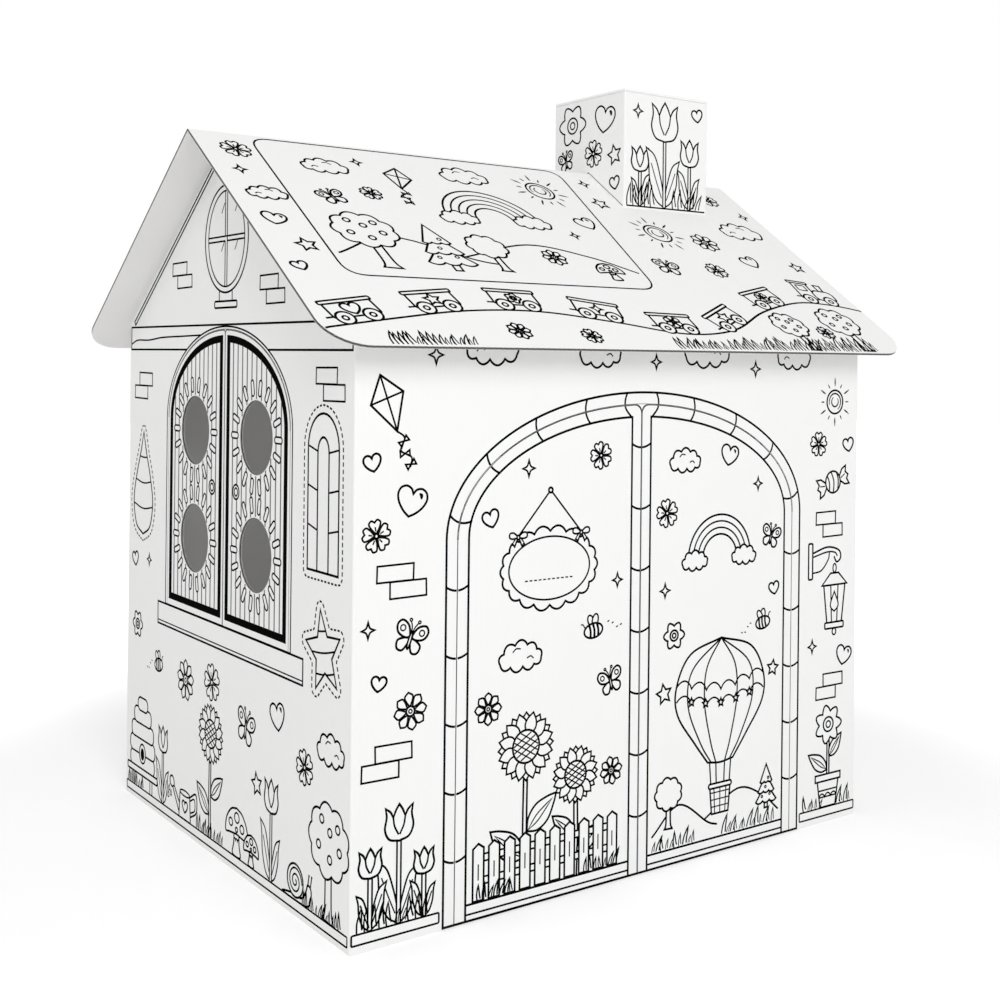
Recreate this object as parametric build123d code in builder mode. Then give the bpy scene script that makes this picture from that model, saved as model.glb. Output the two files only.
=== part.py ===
from build123d import *
import os
from math import acos, atan2, cos, degrees, isclose, sin, sqrt, tan

# A toy playhouse of folded corrugated board: one wall sheet, one roof sheet, one chimney sheet.
# X runs along the front, Y towards the back and Z up. The origin is on the floor, in the middle.

# Board
BOARD = 3.0                 # thickness of the corrugated board
FOLD_RADIUS = 2.5           # outside of a folded corner
KERF = 0.8                  # width of a die-cut line
CREASE_WIDTH = 1.2          # pressed line that a leaf folds on
CREASE_DEPTH = 0.8
OVERRUN = 5.0               # how far a cut runs past the face it opens

# Walls
WALL_LENGTH = 700.0         # front and back wall, outside
WALL_DEPTH = 576.0          # gable walls, outside
EAVE_HEIGHT = 586.0         # where the roof's underside meets the front wall
PEAK_HEIGHT = 790.0         # where the two slopes of a gable would meet
PEAK_FLAT = 6.0             # blunt width of the gable's peak under the ridge fold

# Double door in the front wall, an elliptical arch on two creases
DOOR_WIDTH = 470.0
DOOR_SPRING_HEIGHT = 374.5
DOOR_RISE = 128.0
DOOR_LEAF_RADIUS = 9.0

# Pair of shutters in the left gable
WINDOW_WIDTH = 316.0
WINDOW_SILL_HEIGHT = 255.0
WINDOW_SPRING_HEIGHT = 476.0
WINDOW_RISE = 102.5
SHUTTER_LEAF_RADIUS = 4.0

# Four round peepholes, two in each shutter
PEEPHOLE_DIAMETER = 78.4
PEEPHOLE_PITCH_ACROSS = 159.2
PEEPHOLE_PITCH_UP = 122.8
PEEPHOLES_ABOVE_SILL = 148.4  # from the window's sill to the middle of the four

# Flaps of the wall sheet
TOP_FLAP_WIDTH = 45.0       # folds in under the roof from each long wall
TOP_FLAP_INSET = 26.0       # from the outside of the gable to the flap's end
TOP_FLAP_RADIUS = 20.0
GLUE_FLAP_WIDTH = 38.0      # closes the sheet inside the front right corner
GLUE_FLAP_LOW = 14.0
GLUE_FLAP_HEIGHT = 500.0
GLUE_FLAP_TAPER = 16.0

# Line where a cut edge lies against a fold
SEAM_WIDTH = 0.6
SEAM_DEPTH = 1.0

# Roof
GABLE_OVERHANG = 46.0
EAVE_OVERHANG = 39.0        # measured level, from the wall to the end of the underside
ROOF_CORNER_RADIUS = 42.0
RIDGE_RADIUS = 4.0

# Chimney
CHIMNEY_SIDE = 144.0
CHIMNEY_FROM_GABLE = 120.0  # from the outside of the right gable to the chimney's middle
CHIMNEY_RISE = 104.0        # from the gable's peak height to the chimney's top
CHIMNEY_TAB_WIDTH = 64.0
CHIMNEY_TAB_REACH = 16.0    # below the roof's underside
CHIMNEY_TAB_RADIUS = 8.0
SLOT_CLEARANCE = 0.3        # all round a tab in its slot

# Worked out from the values above
HALF_LENGTH = WALL_LENGTH / 2
HALF_DEPTH = WALL_DEPTH / 2
PITCH = atan2(PEAK_HEIGHT - EAVE_HEIGHT, HALF_DEPTH)
ROOF_LENGTH = WALL_LENGTH + 2 * GABLE_OVERHANG
ROOF_STEP = BOARD / cos(PITCH)              # thickness of the roof measured upright
RIDGE_TOP = PEAK_HEIGHT + ROOF_STEP
EAVE_REACH = HALF_DEPTH + EAVE_OVERHANG
CHIMNEY_X = HALF_LENGTH - CHIMNEY_FROM_GABLE
CHIMNEY_TOP = PEAK_HEIGHT + CHIMNEY_RISE
CHIMNEY_INSIDE = CHIMNEY_SIDE - 2 * BOARD
TAB_ROW = CHIMNEY_SIDE - BOARD              # between the middles of the two tabbed panels

FRONT_FACE = Plane.XZ.offset(HALF_DEPTH)
LEFT_FACE = Plane(origin=(-HALF_LENGTH, 0, 0), x_dir=(0, -1, 0), z_dir=(-1, 0, 0))


def underside_height(reach):
    """Height of the roof's underside at a level distance from the ridge line."""
    return PEAK_HEIGHT - reach * tan(PITCH)


def slope_plane(side):
    """Plane on the roof's underside at the head of a long wall: -1 is the front, 1 the back."""
    return Plane(
        origin=(0, side * HALF_DEPTH, EAVE_HEIGHT),
        x_dir=(-side, 0, 0),
        z_dir=(0, side * sin(PITCH), cos(PITCH)),
    )


def leaf_face(side, grow, width, low, spring, rise, radius):
    """Outline of one leaf under an elliptical arch, grown all round; its free top corner is rounded."""
    hinge = width / 2 + grow
    meeting = -side * grow
    meeting_angle = degrees(acos(meeting / hinge))
    meeting_height = spring + (rise + grow) * sqrt(1 - (meeting / hinge) ** 2)
    hinge_angle = 0 if side > 0 else 180
    with BuildSketch() as leaf:
        with BuildLine():
            Polyline((meeting, meeting_height), (meeting, low), (side * hinge, low), (side * hinge, spring))
            EllipticalCenterArc(
                (0, spring),
                hinge,
                rise + grow,
                start_angle=hinge_angle,
                arc_size=meeting_angle - hinge_angle,
            )
        make_face()
        meeting_corner = leaf.vertices().sort_by_distance((meeting, meeting_height))[0]
        fillet(meeting_corner, radius - grow)
    return leaf.sketch


def leaf_cut(width, low, spring, rise, radius, cut_below):
    """Die-cut line round a pair of leaves; each leaf stays joined at its crease, on the outer side."""
    outer_low = low - KERF / 2 if cut_below else low - OVERRUN
    inner_low = low + KERF / 2 if cut_below else outer_low - OVERRUN
    with BuildSketch() as cut:
        for side in (-1, 1):
            add(leaf_face(side, KERF / 2, width, outer_low, spring, rise, radius))
        for side in (-1, 1):
            add(leaf_face(side, -KERF / 2, width, inner_low, spring, rise, radius), mode=Mode.SUBTRACT)
        with Locations((-width / 2, spring), (width / 2, spring)):
            Rectangle(2 * KERF, 2 * spring, align=(Align.CENTER, Align.MAX), mode=Mode.SUBTRACT)
    return cut.sketch


def crease_pair(width, low, spring):
    """Pressed lines that a pair of leaves fold on, from their foot to where the arch springs."""
    with BuildSketch() as creases:
        with Locations((-width / 2, low), (width / 2, low)):
            Rectangle(CREASE_WIDTH, spring - low, align=(Align.CENTER, Align.MIN))
    return creases.sketch


# Wall sheet: four panels folded into a loop
with BuildPart() as walls:
    with BuildSketch():
        RectangleRounded(WALL_LENGTH, WALL_DEPTH, FOLD_RADIUS)
        Rectangle(WALL_LENGTH - 2 * BOARD, WALL_DEPTH - 2 * BOARD, mode=Mode.SUBTRACT)
    extrude(amount=PEAK_HEIGHT)

    # Gable slopes, with a blunt peak that keeps clear of the ridge fold
    peak_z = underside_height(PEAK_FLAT / 2)
    with BuildSketch(Plane.YZ):
        with BuildLine():
            Polyline(
                (-HALF_DEPTH, 0),
                (-HALF_DEPTH, EAVE_HEIGHT),
                (-PEAK_FLAT / 2, peak_z),
                (PEAK_FLAT / 2, peak_z),
                (HALF_DEPTH, EAVE_HEIGHT),
                (HALF_DEPTH, 0),
                close=True,
            )
        make_face()
    extrude(amount=HALF_LENGTH, both=True, mode=Mode.INTERSECT)

    # Flaps along both long walls, folded in to lie flat under the roof
    for side in (-1, 1):
        with BuildSketch(slope_plane(side)) as flap:
            Rectangle(WALL_LENGTH - 2 * TOP_FLAP_INSET, TOP_FLAP_WIDTH, align=(Align.CENTER, Align.MIN))
            fillet(flap.vertices().group_by(Axis.Y)[-1], TOP_FLAP_RADIUS)
        extrude(amount=-BOARD)

    # Glue flap of the right gable, inside the front wall
    with BuildSketch(FRONT_FACE.offset(-BOARD)) as glue_flap:
        with Locations((HALF_LENGTH - BOARD, GLUE_FLAP_LOW)):
            Rectangle(GLUE_FLAP_WIDTH, GLUE_FLAP_HEIGHT, align=(Align.MAX, Align.MIN))
        chamfer(glue_flap.vertices().group_by(Axis.X)[0], GLUE_FLAP_TAPER)
    extrude(amount=-BOARD)

    # Seam at the closing corner, where the front panel's cut edge lies against the right gable's fold
    with BuildSketch():
        with Locations((HALF_LENGTH, -HALF_DEPTH + BOARD)):
            Rectangle(2 * SEAM_DEPTH, SEAM_WIDTH)
    extrude(amount=PEAK_HEIGHT, mode=Mode.SUBTRACT)

    # Door leaves, shutters and their peepholes
    door_cut = leaf_cut(DOOR_WIDTH, 0, DOOR_SPRING_HEIGHT, DOOR_RISE, DOOR_LEAF_RADIUS, cut_below=False)
    shutter_cut = leaf_cut(
        WINDOW_WIDTH,
        WINDOW_SILL_HEIGHT,
        WINDOW_SPRING_HEIGHT,
        WINDOW_RISE,
        SHUTTER_LEAF_RADIUS,
        cut_below=True,
    )
    for face, cut in ((FRONT_FACE, door_cut), (LEFT_FACE, shutter_cut)):
        with BuildSketch(face):
            add(cut)
        extrude(amount=-(BOARD + KERF), mode=Mode.SUBTRACT)
    door_creases = crease_pair(DOOR_WIDTH, 0, DOOR_SPRING_HEIGHT)
    shutter_creases = crease_pair(WINDOW_WIDTH, WINDOW_SILL_HEIGHT, WINDOW_SPRING_HEIGHT)
    for face, creases in ((FRONT_FACE, door_creases), (LEFT_FACE, shutter_creases)):
        with BuildSketch(face):
            add(creases)
        extrude(amount=-CREASE_DEPTH, mode=Mode.SUBTRACT)
    with BuildSketch(LEFT_FACE):
        with Locations((0, WINDOW_SILL_HEIGHT + PEEPHOLES_ABOVE_SILL)):
            with GridLocations(PEEPHOLE_PITCH_ACROSS, PEEPHOLE_PITCH_UP, 2, 2):
                Circle(PEEPHOLE_DIAMETER / 2)
    extrude(amount=-(BOARD + KERF), mode=Mode.SUBTRACT)


# Roof sheet: one board folded along the ridge, with rounded eave corners
with BuildPart() as roof:
    eave_z = underside_height(EAVE_REACH)
    edge_reach = EAVE_REACH + BOARD * sin(PITCH)
    edge_z = eave_z + BOARD * cos(PITCH)
    with BuildSketch(Plane.YZ):
        with BuildLine():
            Polyline(
                (-EAVE_REACH, eave_z),
                (0, PEAK_HEIGHT),
                (EAVE_REACH, eave_z),
                (edge_reach, edge_z),
                (0, RIDGE_TOP),
                (-edge_reach, edge_z),
                close=True,
            )
        make_face()
    extrude(amount=ROOF_LENGTH / 2, both=True)
    fillet(roof.edges().filter_by(Axis.X).sort_by(Axis.Z)[-1], RIDGE_RADIUS)
    eave_corners = roof.edges().filter_by(lambda edge: isclose(edge.length, BOARD, rel_tol=1e-6))
    fillet(eave_corners, ROOF_CORNER_RADIUS)

    # Slots for the chimney's tabs, cut straight down through both slopes
    with BuildSketch(Plane.XY.offset(RIDGE_TOP)):
        with Locations((CHIMNEY_X, 0)):
            with GridLocations(0, TAB_ROW, 1, 2):
                Rectangle(CHIMNEY_TAB_WIDTH + 2 * SLOT_CLEARANCE, BOARD + 2 * SLOT_CLEARANCE)
    extrude(amount=-RIDGE_TOP, mode=Mode.SUBTRACT)


# Chimney sheet: a square tube that straddles the ridge, with a lid folded over from its back panel
with BuildPart() as chimney:
    with BuildSketch(Plane.XY.offset(EAVE_HEIGHT)):
        with Locations((CHIMNEY_X, 0)):
            RectangleRounded(CHIMNEY_SIDE, CHIMNEY_SIDE, FOLD_RADIUS)
            Rectangle(CHIMNEY_INSIDE, CHIMNEY_INSIDE, mode=Mode.SUBTRACT)
    extrude(amount=CHIMNEY_TOP - EAVE_HEIGHT)

    # V notches in the side panels and slanted feet on the front and back, all lying on the roof
    with BuildSketch(Plane.YZ.offset(CHIMNEY_X)):
        with BuildLine():
            Polyline(
                (-EAVE_REACH, underside_height(EAVE_REACH) + ROOF_STEP),
                (0, RIDGE_TOP),
                (EAVE_REACH, underside_height(EAVE_REACH) + ROOF_STEP),
                close=True,
            )
        make_face()
    extrude(amount=CHIMNEY_SIDE, both=True, mode=Mode.SUBTRACT)

    # Tabs that drop through the roof's slots
    tab_foot = underside_height(CHIMNEY_SIDE / 2) - CHIMNEY_TAB_REACH
    for side in (-1, 1):
        with BuildSketch(Plane.XZ.offset(side * CHIMNEY_SIDE / 2)) as tab:
            with Locations((CHIMNEY_X, tab_foot)):
                Rectangle(CHIMNEY_TAB_WIDTH, RIDGE_TOP - tab_foot, align=(Align.CENTER, Align.MIN))
            fillet(tab.vertices().group_by(Axis.Y)[0], CHIMNEY_TAB_RADIUS)
        extrude(amount=-side * BOARD)

    # Lid, with the seam that shows along its three cut edges
    with BuildSketch(Plane.XY.offset(CHIMNEY_TOP - BOARD)):
        with Locations((CHIMNEY_X, 0)):
            RectangleRounded(CHIMNEY_SIDE, CHIMNEY_SIDE, FOLD_RADIUS)
    extrude(amount=BOARD)
    with BuildSketch(Plane.XY.offset(CHIMNEY_TOP - BOARD)):
        with Locations((CHIMNEY_X, 0)):
            Rectangle(CHIMNEY_SIDE, CHIMNEY_SIDE)
        with Locations((CHIMNEY_X, SEAM_DEPTH)):
            Rectangle(CHIMNEY_SIDE - 2 * SEAM_DEPTH, CHIMNEY_SIDE, mode=Mode.SUBTRACT)
    extrude(amount=-SEAM_WIDTH, mode=Mode.SUBTRACT)


walls.part.label = "walls"
roof.part.label = "roof"
chimney.part.label = "chimney"

os.makedirs("parts", exist_ok=True)
export_step(walls.part, "parts/walls.step")
export_step(roof.part, "parts/roof.step")
export_step(chimney.part, "parts/chimney.step")
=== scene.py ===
"""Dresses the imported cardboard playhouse: white corrugated board, black line print, studio and camera."""

import logging
import math
from dataclasses import dataclass, field, replace
from enum import Enum
from functools import reduce
from typing import Optional, Sequence, Union

import bpy
import numpy as np
from mathutils import Matrix, Vector


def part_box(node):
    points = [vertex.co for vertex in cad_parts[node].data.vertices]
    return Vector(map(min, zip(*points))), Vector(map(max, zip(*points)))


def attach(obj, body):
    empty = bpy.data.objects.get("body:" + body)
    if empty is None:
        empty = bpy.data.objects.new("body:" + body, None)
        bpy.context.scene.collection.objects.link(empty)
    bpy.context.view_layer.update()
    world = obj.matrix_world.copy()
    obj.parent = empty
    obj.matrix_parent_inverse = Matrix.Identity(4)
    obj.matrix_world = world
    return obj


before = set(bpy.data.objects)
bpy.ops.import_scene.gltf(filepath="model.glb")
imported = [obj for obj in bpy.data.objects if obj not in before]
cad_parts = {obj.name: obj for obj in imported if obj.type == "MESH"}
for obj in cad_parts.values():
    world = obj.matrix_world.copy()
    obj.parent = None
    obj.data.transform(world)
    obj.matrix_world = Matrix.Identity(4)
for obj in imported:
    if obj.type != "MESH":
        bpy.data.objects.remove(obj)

MM = 0.001
BODY = "root"
UP = Vector((0, 0, 1))
CURVE_STEPS = 7
CUT_STEP = 1.6
CUT_HALVINGS = 7
FIRST_SEED = 3
SEED_STEP = 11

Point = tuple[float, float]
Size = Union[float, Point]
Socket = bpy.types.NodeSocket

log = logging.getLogger("playhouse")


class Ink(Enum):
    """The two inks of the print."""

    BLACK = "black"
    GREY = "grey"


class Pen(Enum):
    """Widths of the printed lines, in millimetres."""

    BORDER = 8.0
    KEY = 2.4
    LINE = 2.25
    FINE = 1.9
    HAIR = 1.4
    TRACE = 0.45
    # painted shade: width of the dark line along the chimney flanks' foot, which stands for the contact shade
    # at the roof
    FOOT_SHADE = 0.7


# Line work


def smooth(points: Sequence[Point], closed: bool = False) -> np.ndarray:
    """Runs a smooth line through control points.

    Args:
        points: the control points, in order.
        closed: whether the line returns to its first point.

    Returns:
        The line's points, without a repeated first point where it is closed.
    """
    knots = np.asarray(points, float)
    if closed:
        ring = np.vstack([knots[-1:], knots, knots[:2]])
    else:
        ring = np.vstack([2 * knots[:1] - knots[1:2], knots, 2 * knots[-1:] - knots[-2:-1]])
    share = np.linspace(0, 1, CURVE_STEPS, endpoint=False)[:, None]
    runs = []
    for before, start, end, after in zip(ring, ring[1:], ring[2:], ring[3:]):
        line = start + share * (end - before) / 2
        bend = share**2 * (before - 2.5 * start + 2 * end - after / 2)
        runs.append(line + bend + share**3 * (1.5 * (start - end) + (after - before) / 2))
    return np.vstack(runs if closed else runs + [knots[-1:]])


def joined(*runs: Sequence[Point]) -> np.ndarray:
    """Joins smooth runs end to end, with a corner wherever two of them meet."""
    return np.vstack([smooth(run)[:-1] for run in runs])


def mirrored(*runs: Sequence[Point]) -> np.ndarray:
    """A closed shape from the runs up its right side, and their mirror images back down."""
    back = [[(-x, y) for x, y in reversed(run)] for run in reversed(runs)]
    return joined(*runs, *back)


def oval(centre: Point, radii: Size, start: float = 0.0, stop: float = 360.0, steps: int = 0) -> np.ndarray:
    """Points of an ellipse or of a piece of one.

    Args:
        centre: the middle.
        radii: half the width and half the height, or one number for both.
        start: where the piece starts, in degrees.
        stop: where it ends.
        steps: straight pieces; 0 picks them by size, in millimetres.

    Returns:
        The points, without a repeated first point for a whole ellipse.
    """
    radii = np.ones(2) * radii
    span = abs(stop - start)
    count = steps or max(10, int(math.radians(span) * math.sqrt(max(radii)) * 2.2))
    angle = np.radians(np.linspace(start, stop, count + 1))
    if span >= 360:
        angle = angle[:-1]
    return np.array(centre) + radii * np.stack([np.cos(angle), np.sin(angle)], axis=1)


def box(low: Point, high: Point) -> np.ndarray:
    """The four corners of an upright rectangle."""
    return np.array([low, (high[0], low[1]), high, (low[0], high[1])], float)


def round_box(low: Point, high: Point, radius: float) -> np.ndarray:
    """An upright rectangle with rounded corners."""
    middles = np.roll(box(np.add(low, radius), np.subtract(high, radius)), -1, axis=0)
    return np.vstack([oval(middle, radius, 90 * k - 90, 90 * k, 6) for k, middle in enumerate(middles)])


def bumps(points: Sequence[Point], bulge: float = 0.4, closed: bool = True, steps: int = 9) -> np.ndarray:
    """Scallops a line: an arc that bulges to the right between each two points.

    Args:
        points: where the scallops meet; anticlockwise round a closed shape, so that they bulge outwards.
        bulge: an arc's height as a share of its chord.
        closed: whether the last point joins the first.
        steps: straight pieces in an arc.

    Returns:
        The scalloped line.
    """
    spots = np.asarray(points, float)
    share = np.linspace(0, 1, steps, endpoint=False)[:, None]
    runs = []
    for start, end in zip(spots, np.roll(spots, -1, axis=0) if closed else spots[1:]):
        chord = end - start
        across = np.array([chord[1], -chord[0]])
        runs.append(start + share * chord + across * bulge * np.sin(np.pi * share) ** 0.75)
    return np.vstack(runs if closed else runs + [spots[-1:]])


def inside(points: np.ndarray, shape: np.ndarray) -> np.ndarray:
    """Tells which points lie inside a shape.

    Args:
        points: the points.
        shape: the shape's closed outline.

    Returns:
        True for each point that has an odd number of the outline's edges to its right.
    """
    x, y = points[:, :1], points[:, 1:]
    (x0, y0), (x1, y1) = shape.T, np.roll(shape, -1, axis=0).T
    rise = np.where(y1 == y0, 1e-12, y1 - y0)
    crossing = x0 + (y - y0) * (x1 - x0) / rise
    return (((y0 > y) != (y1 > y)) & (x < crossing)).sum(axis=1) % 2 == 1


def evenly(path: np.ndarray, spacing: float) -> np.ndarray:
    """Adds points to a line until no two neighbours are further apart than the spacing.

    Args:
        path: the line's points.
        spacing: the longest step.

    Returns:
        The points of the same line, with more between them.
    """
    runs = []
    for start, end in zip(path, path[1:]):
        count = max(1, int(math.ceil(float(np.hypot(*(end - start))) / spacing)))
        runs.append(start + np.linspace(0, 1, count, endpoint=False)[:, None] * (end - start))
    return np.vstack(runs + [path[-1:]])


def thinned(path: np.ndarray, tolerance: float) -> np.ndarray:
    """Drops the points of a line that lie within the tolerance of the line without them.

    Args:
        path: the line's points.
        tolerance: how far the line may shift.

    Returns:
        The points that stay.
    """
    keep = np.zeros(len(path), bool)
    keep[[0, -1]] = True
    spans = [(0, len(path) - 1)]
    while spans:
        first, last = spans.pop()
        if last - first < 2:
            continue
        chord = path[last] - path[first]
        length = float(np.hypot(*chord))
        inner = path[first + 1 : last] - path[first]
        if length < 1e-9:
            distance = np.hypot(inner[:, 0], inner[:, 1])
        else:
            distance = np.abs(inner[:, 0] * chord[1] - inner[:, 1] * chord[0]) / length
        worst = int(distance.argmax())
        if distance[worst] > tolerance:
            middle = first + 1 + worst
            keep[middle] = True
            spans += [(first, middle), (middle, last)]
    return path[keep]


def dashed(points: np.ndarray, mark: float, gap: float, closed: bool = True) -> list[np.ndarray]:
    """Cuts a line into dashes.

    Args:
        points: the line.
        mark: about how long a dash is.
        gap: about how long a gap is.
        closed: whether the line returns to its first point.

    Returns:
        The points of each dash.
    """
    path = np.vstack([points, points[:1]]) if closed else points
    reach = np.concatenate([[0], np.cumsum(np.hypot(*np.diff(path, axis=0).T))])
    count = max(1, round(reach[-1] / (mark + gap)))
    period = reach[-1] / count
    starts = [index * period for index in range(count)]
    places = [np.linspace(start, start + period * mark / (mark + gap), 5) for start in starts]
    return [np.stack([np.interp(dash, reach, path[:, k]) for k in (0, 1)], axis=1) for dash in places]


def outward(outline: np.ndarray, reach: float) -> np.ndarray:
    """Moves an outline outwards and rounds off its corners.

    Args:
        outline: the closed outline.
        reach: how far it moves.

    Returns:
        The new outline, with a point for each turn of a few degrees about its middle.
    """
    spaced = evenly(np.vstack([outline, outline[:1]]), 3.0)[:-1]
    middle = spaced.mean(axis=0)
    rim = []
    for ray in oval((0, 0), 1, steps=96):
        along = (spaced - middle) @ ray
        across = np.abs((spaced - middle) @ np.array([-ray[1], ray[0]]))
        hits = along + np.sqrt(np.maximum(reach**2 - across**2, 0))
        rim.append(middle + ray * float(hits[(across < reach) & (along > 0)].max()))
    return np.array(rim)


@dataclass
class Stroke:
    """One printed line, or one patch of solid ink, on a flat panel."""

    points: np.ndarray
    width: float
    closed: bool = False
    filled: bool = False
    taper: float = 0.0
    ink: Ink = Ink.BLACK

    def split(self, shape: np.ndarray, keep_inside: bool) -> list["Stroke"]:
        """Cuts the line where it crosses a shape.

        Args:
            shape: a closed outline.
            keep_inside: whether the parts inside the shape stay, in place of those outside.

        Returns:
            What is left of the line; the line itself where nothing is cut.
        """
        low, high = self.points.min(axis=0), self.points.max(axis=0)
        if (low > shape.max(axis=0)).any() or (high < shape.min(axis=0)).any():
            return [] if keep_inside else [self]
        if self.filled:
            middle = self.points.mean(axis=0)[None, :]
            return [self] if bool(inside(middle, shape)[0]) == keep_inside else []
        path = np.vstack([self.points, self.points[:1]]) if self.closed else self.points
        path = evenly(path, CUT_STEP)
        kept = inside(path, shape) == keep_inside
        if kept.all():
            return [self]
        runs: list[list[np.ndarray]] = []
        current: list[np.ndarray] = []
        for index, point in enumerate(path):
            if kept[index]:
                if not current and index:
                    current.append(self._edge(path[index - 1], point, shape, keep_inside))
                current.append(point)
            elif current:
                current.append(self._edge(point, path[index - 1], shape, keep_inside))
                runs.append(current)
                current = []
        if current:
            runs.append(current)
        if self.closed and kept[0] and kept[-1] and len(runs) > 1:
            runs[0] = runs.pop() + runs[0][1:]
        return [replace(self, points=np.array(run), closed=False) for run in runs if len(run) > 1]

    @staticmethod
    def _edge(dropped: np.ndarray, kept: np.ndarray, shape: np.ndarray, keep_inside: bool) -> np.ndarray:
        """Halves the step between a dropped point and a kept one until it ends on a shape's outline.

        Args:
            dropped: the point on the side that goes.
            kept: the point on the side that stays.
            shape: the closed outline.
            keep_inside: whether the inside stays.

        Returns:
            The point where the line is cut.
        """
        for _ in range(CUT_HALVINGS):
            middle = (dropped + kept) / 2
            if bool(inside(middle[None, :], shape)[0]) == keep_inside:
                kept = middle
            else:
                dropped = middle
        return kept


def moved(points: np.ndarray, at: Point, turn: float, flip: bool = False) -> np.ndarray:
    """Flips points left to right, turns them and sets them down elsewhere.

    Args:
        points: the points.
        at: where their origin goes.
        turn: their turn in degrees.
        flip: whether they are mirrored.

    Returns:
        The moved points.
    """
    cosine, sine = math.cos(math.radians(turn)), math.sin(math.radians(turn))
    mirror = np.array([-1.0 if flip else 1.0, 1.0])
    return points * mirror @ np.array([[cosine, sine], [-sine, cosine]]) + np.array(at)


@dataclass
class Drawing:
    """Line art on a flat panel, in millimetres. What is drawn later hides what lies under it.

    The points that its drawing methods take count in its unit, which is a number of millimetres, or
    one across and one up.
    """

    unit: Size = 1.0
    strokes: list[Stroke] = field(default_factory=list)
    shapes: list[np.ndarray] = field(default_factory=list)

    def line(
        self,
        points: Sequence[Point],
        pen: Pen = Pen.LINE,
        closed: bool = False,
        taper: float = 0.0,
        ink: Ink = Ink.BLACK,
    ) -> "Drawing":
        """Draws straight lines from point to point.

        Args:
            points: the points, in units.
            pen: the lines' width.
            closed: whether the last point joins the first.
            taper: how much of the width is gone at the ends, from 0 to 1.
            ink: their ink.

        Returns:
            This drawing.
        """
        path = np.asarray(points, float) * self.unit
        self.strokes.append(Stroke(path, pen.value, closed, False, taper, ink))
        return self

    def curve(self, points: Sequence[Point], pen: Pen = Pen.LINE) -> "Drawing":
        """Draws a smooth line through the points."""
        return self.line(smooth(points), pen)

    def fill(self, points: Sequence[Point]) -> "Drawing":
        """Fills a closed outline with ink."""
        self.strokes.append(Stroke(np.asarray(points, float) * self.unit, 0.0, closed=True, filled=True))
        return self

    def shape(self, points: Sequence[Point], pen: Pen = Pen.LINE) -> "Drawing":
        """Draws a closed outline and hides what was drawn inside it before."""
        self.cover(np.asarray(points, float) * self.unit)
        return self.line(points, pen, closed=True)

    def arc(
        self, centre: Point, radii: Size, start: float, stop: float, pen: Pen, taper: float = 0.0
    ) -> "Drawing":
        """Draws a piece of an oval, from one angle to another in degrees."""
        return self.line(self._oval(centre, radii, start, stop), pen, taper=taper)

    def hoop(self, centre: Point, radii: Size, pen: Pen = Pen.FINE, steps: int = 0) -> "Drawing":
        """Draws an oval."""
        return self.line(self._oval(centre, radii, steps=steps), pen, closed=True)

    def disc(self, centre: Point, radii: Size, pen: Pen = Pen.LINE, steps: int = 0) -> "Drawing":
        """Draws an oval and hides what was drawn inside it before."""
        return self.shape(self._oval(centre, radii, steps=steps), pen)

    def _oval(self, centre: Point, radii: Size, *piece: float, steps: int = 0) -> np.ndarray:
        """An oval, or a piece of one, with the points that its size in millimetres asks for."""
        unit = np.ones(2) * self.unit
        return oval(centre * unit, radii * unit, *piece, steps=steps) / unit

    def cover(self, outline: np.ndarray) -> None:
        """Hides what was drawn inside an outline, here and under every copy of this drawing."""
        self.hide(outline)
        self.shapes.append(outline)

    def hide(self, outline: np.ndarray) -> "Drawing":
        """Cuts away what was drawn inside an outline, which is in millimetres."""
        self.strokes = [part for stroke in self.strokes for part in stroke.split(outline, keep_inside=False)]
        return self

    def keep(self, outline: np.ndarray) -> "Drawing":
        """Cuts away what was drawn outside an outline, which is in millimetres."""
        self.strokes = [part for stroke in self.strokes for part in stroke.split(outline, keep_inside=True)]
        return self

    def inlay(self, other: "Drawing", outline: Optional[np.ndarray] = None) -> "Drawing":
        """Adds what another drawing has inside an outline, or inside the last shape."""
        self.strokes += other.keep(self.shapes[-1] if outline is None else outline).strokes
        return self

    def place(
        self, other: "Drawing", at: Point = (0.0, 0.0), turn: float = 0.0, flip: bool = False
    ) -> "Drawing":
        """Sets a copy of another drawing down on this one.

        Args:
            other: the drawing to copy.
            at: where its origin goes.
            turn: its turn in degrees.
            flip: whether it is mirrored left to right.

        Returns:
            This drawing.
        """
        at = np.array(at) * self.unit
        for outline in other.shapes:
            self.cover(moved(outline, at, turn, flip))
        for stroke in other.strokes:
            self.strokes.append(replace(stroke, points=moved(stroke.points, at, turn, flip)))
        return self

    def ring(self, other: "Drawing", count: int, radius: float = 0.0, start: float = 0.0) -> "Drawing":
        """Sets copies of a drawing round the origin, each with its own up pointing outwards.

        Args:
            other: the drawing to copy.
            count: how many copies.
            radius: how far out their origins go.
            start: the first one's turn in degrees, where 0 points up.

        Returns:
            This drawing.
        """
        for index in range(count):
            turn = start + 360 * index / count
            angle = math.radians(turn + 90)
            self.place(other, (radius * math.cos(angle), radius * math.sin(angle)), turn)
        return self

    def scatter(self, *items: "Put") -> "Drawing":
        """Sets motifs down, the later ones in front.

        Args:
            items: the motifs and their places.

        Returns:
            This drawing.
        """
        for item in items:
            self.place(item.motif.draw(), (item.x, item.y), item.turn, item.flip)
        return self


# Motifs of the print, each drawn round its own origin or up from its foot


@dataclass(frozen=True)
class Heart:
    """A heart with a gloss mark on one lobe."""

    width: float = 30.0
    gloss: bool = True

    def draw(self) -> Drawing:
        """Draws the heart round its middle.

        Returns:
            The drawing.
        """
        side = [(0, -0.95), (0.46, -0.66), (0.9, -0.2), (1.1, 0.3), (0.98, 0.72), (0.6, 0.92)]
        art = Drawing(self.width / 2).shape(mirrored(side + [(0.2, 0.8), (0, 0.5)]))
        if self.gloss:
            mark = smooth([(0.44, 0.62), (0.62, 0.52), (0.68, 0.28)]) * art.unit
            art.strokes.append(Stroke(mark, max(2.2, 0.12 * self.width), taper=0.7))
        return art


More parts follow.
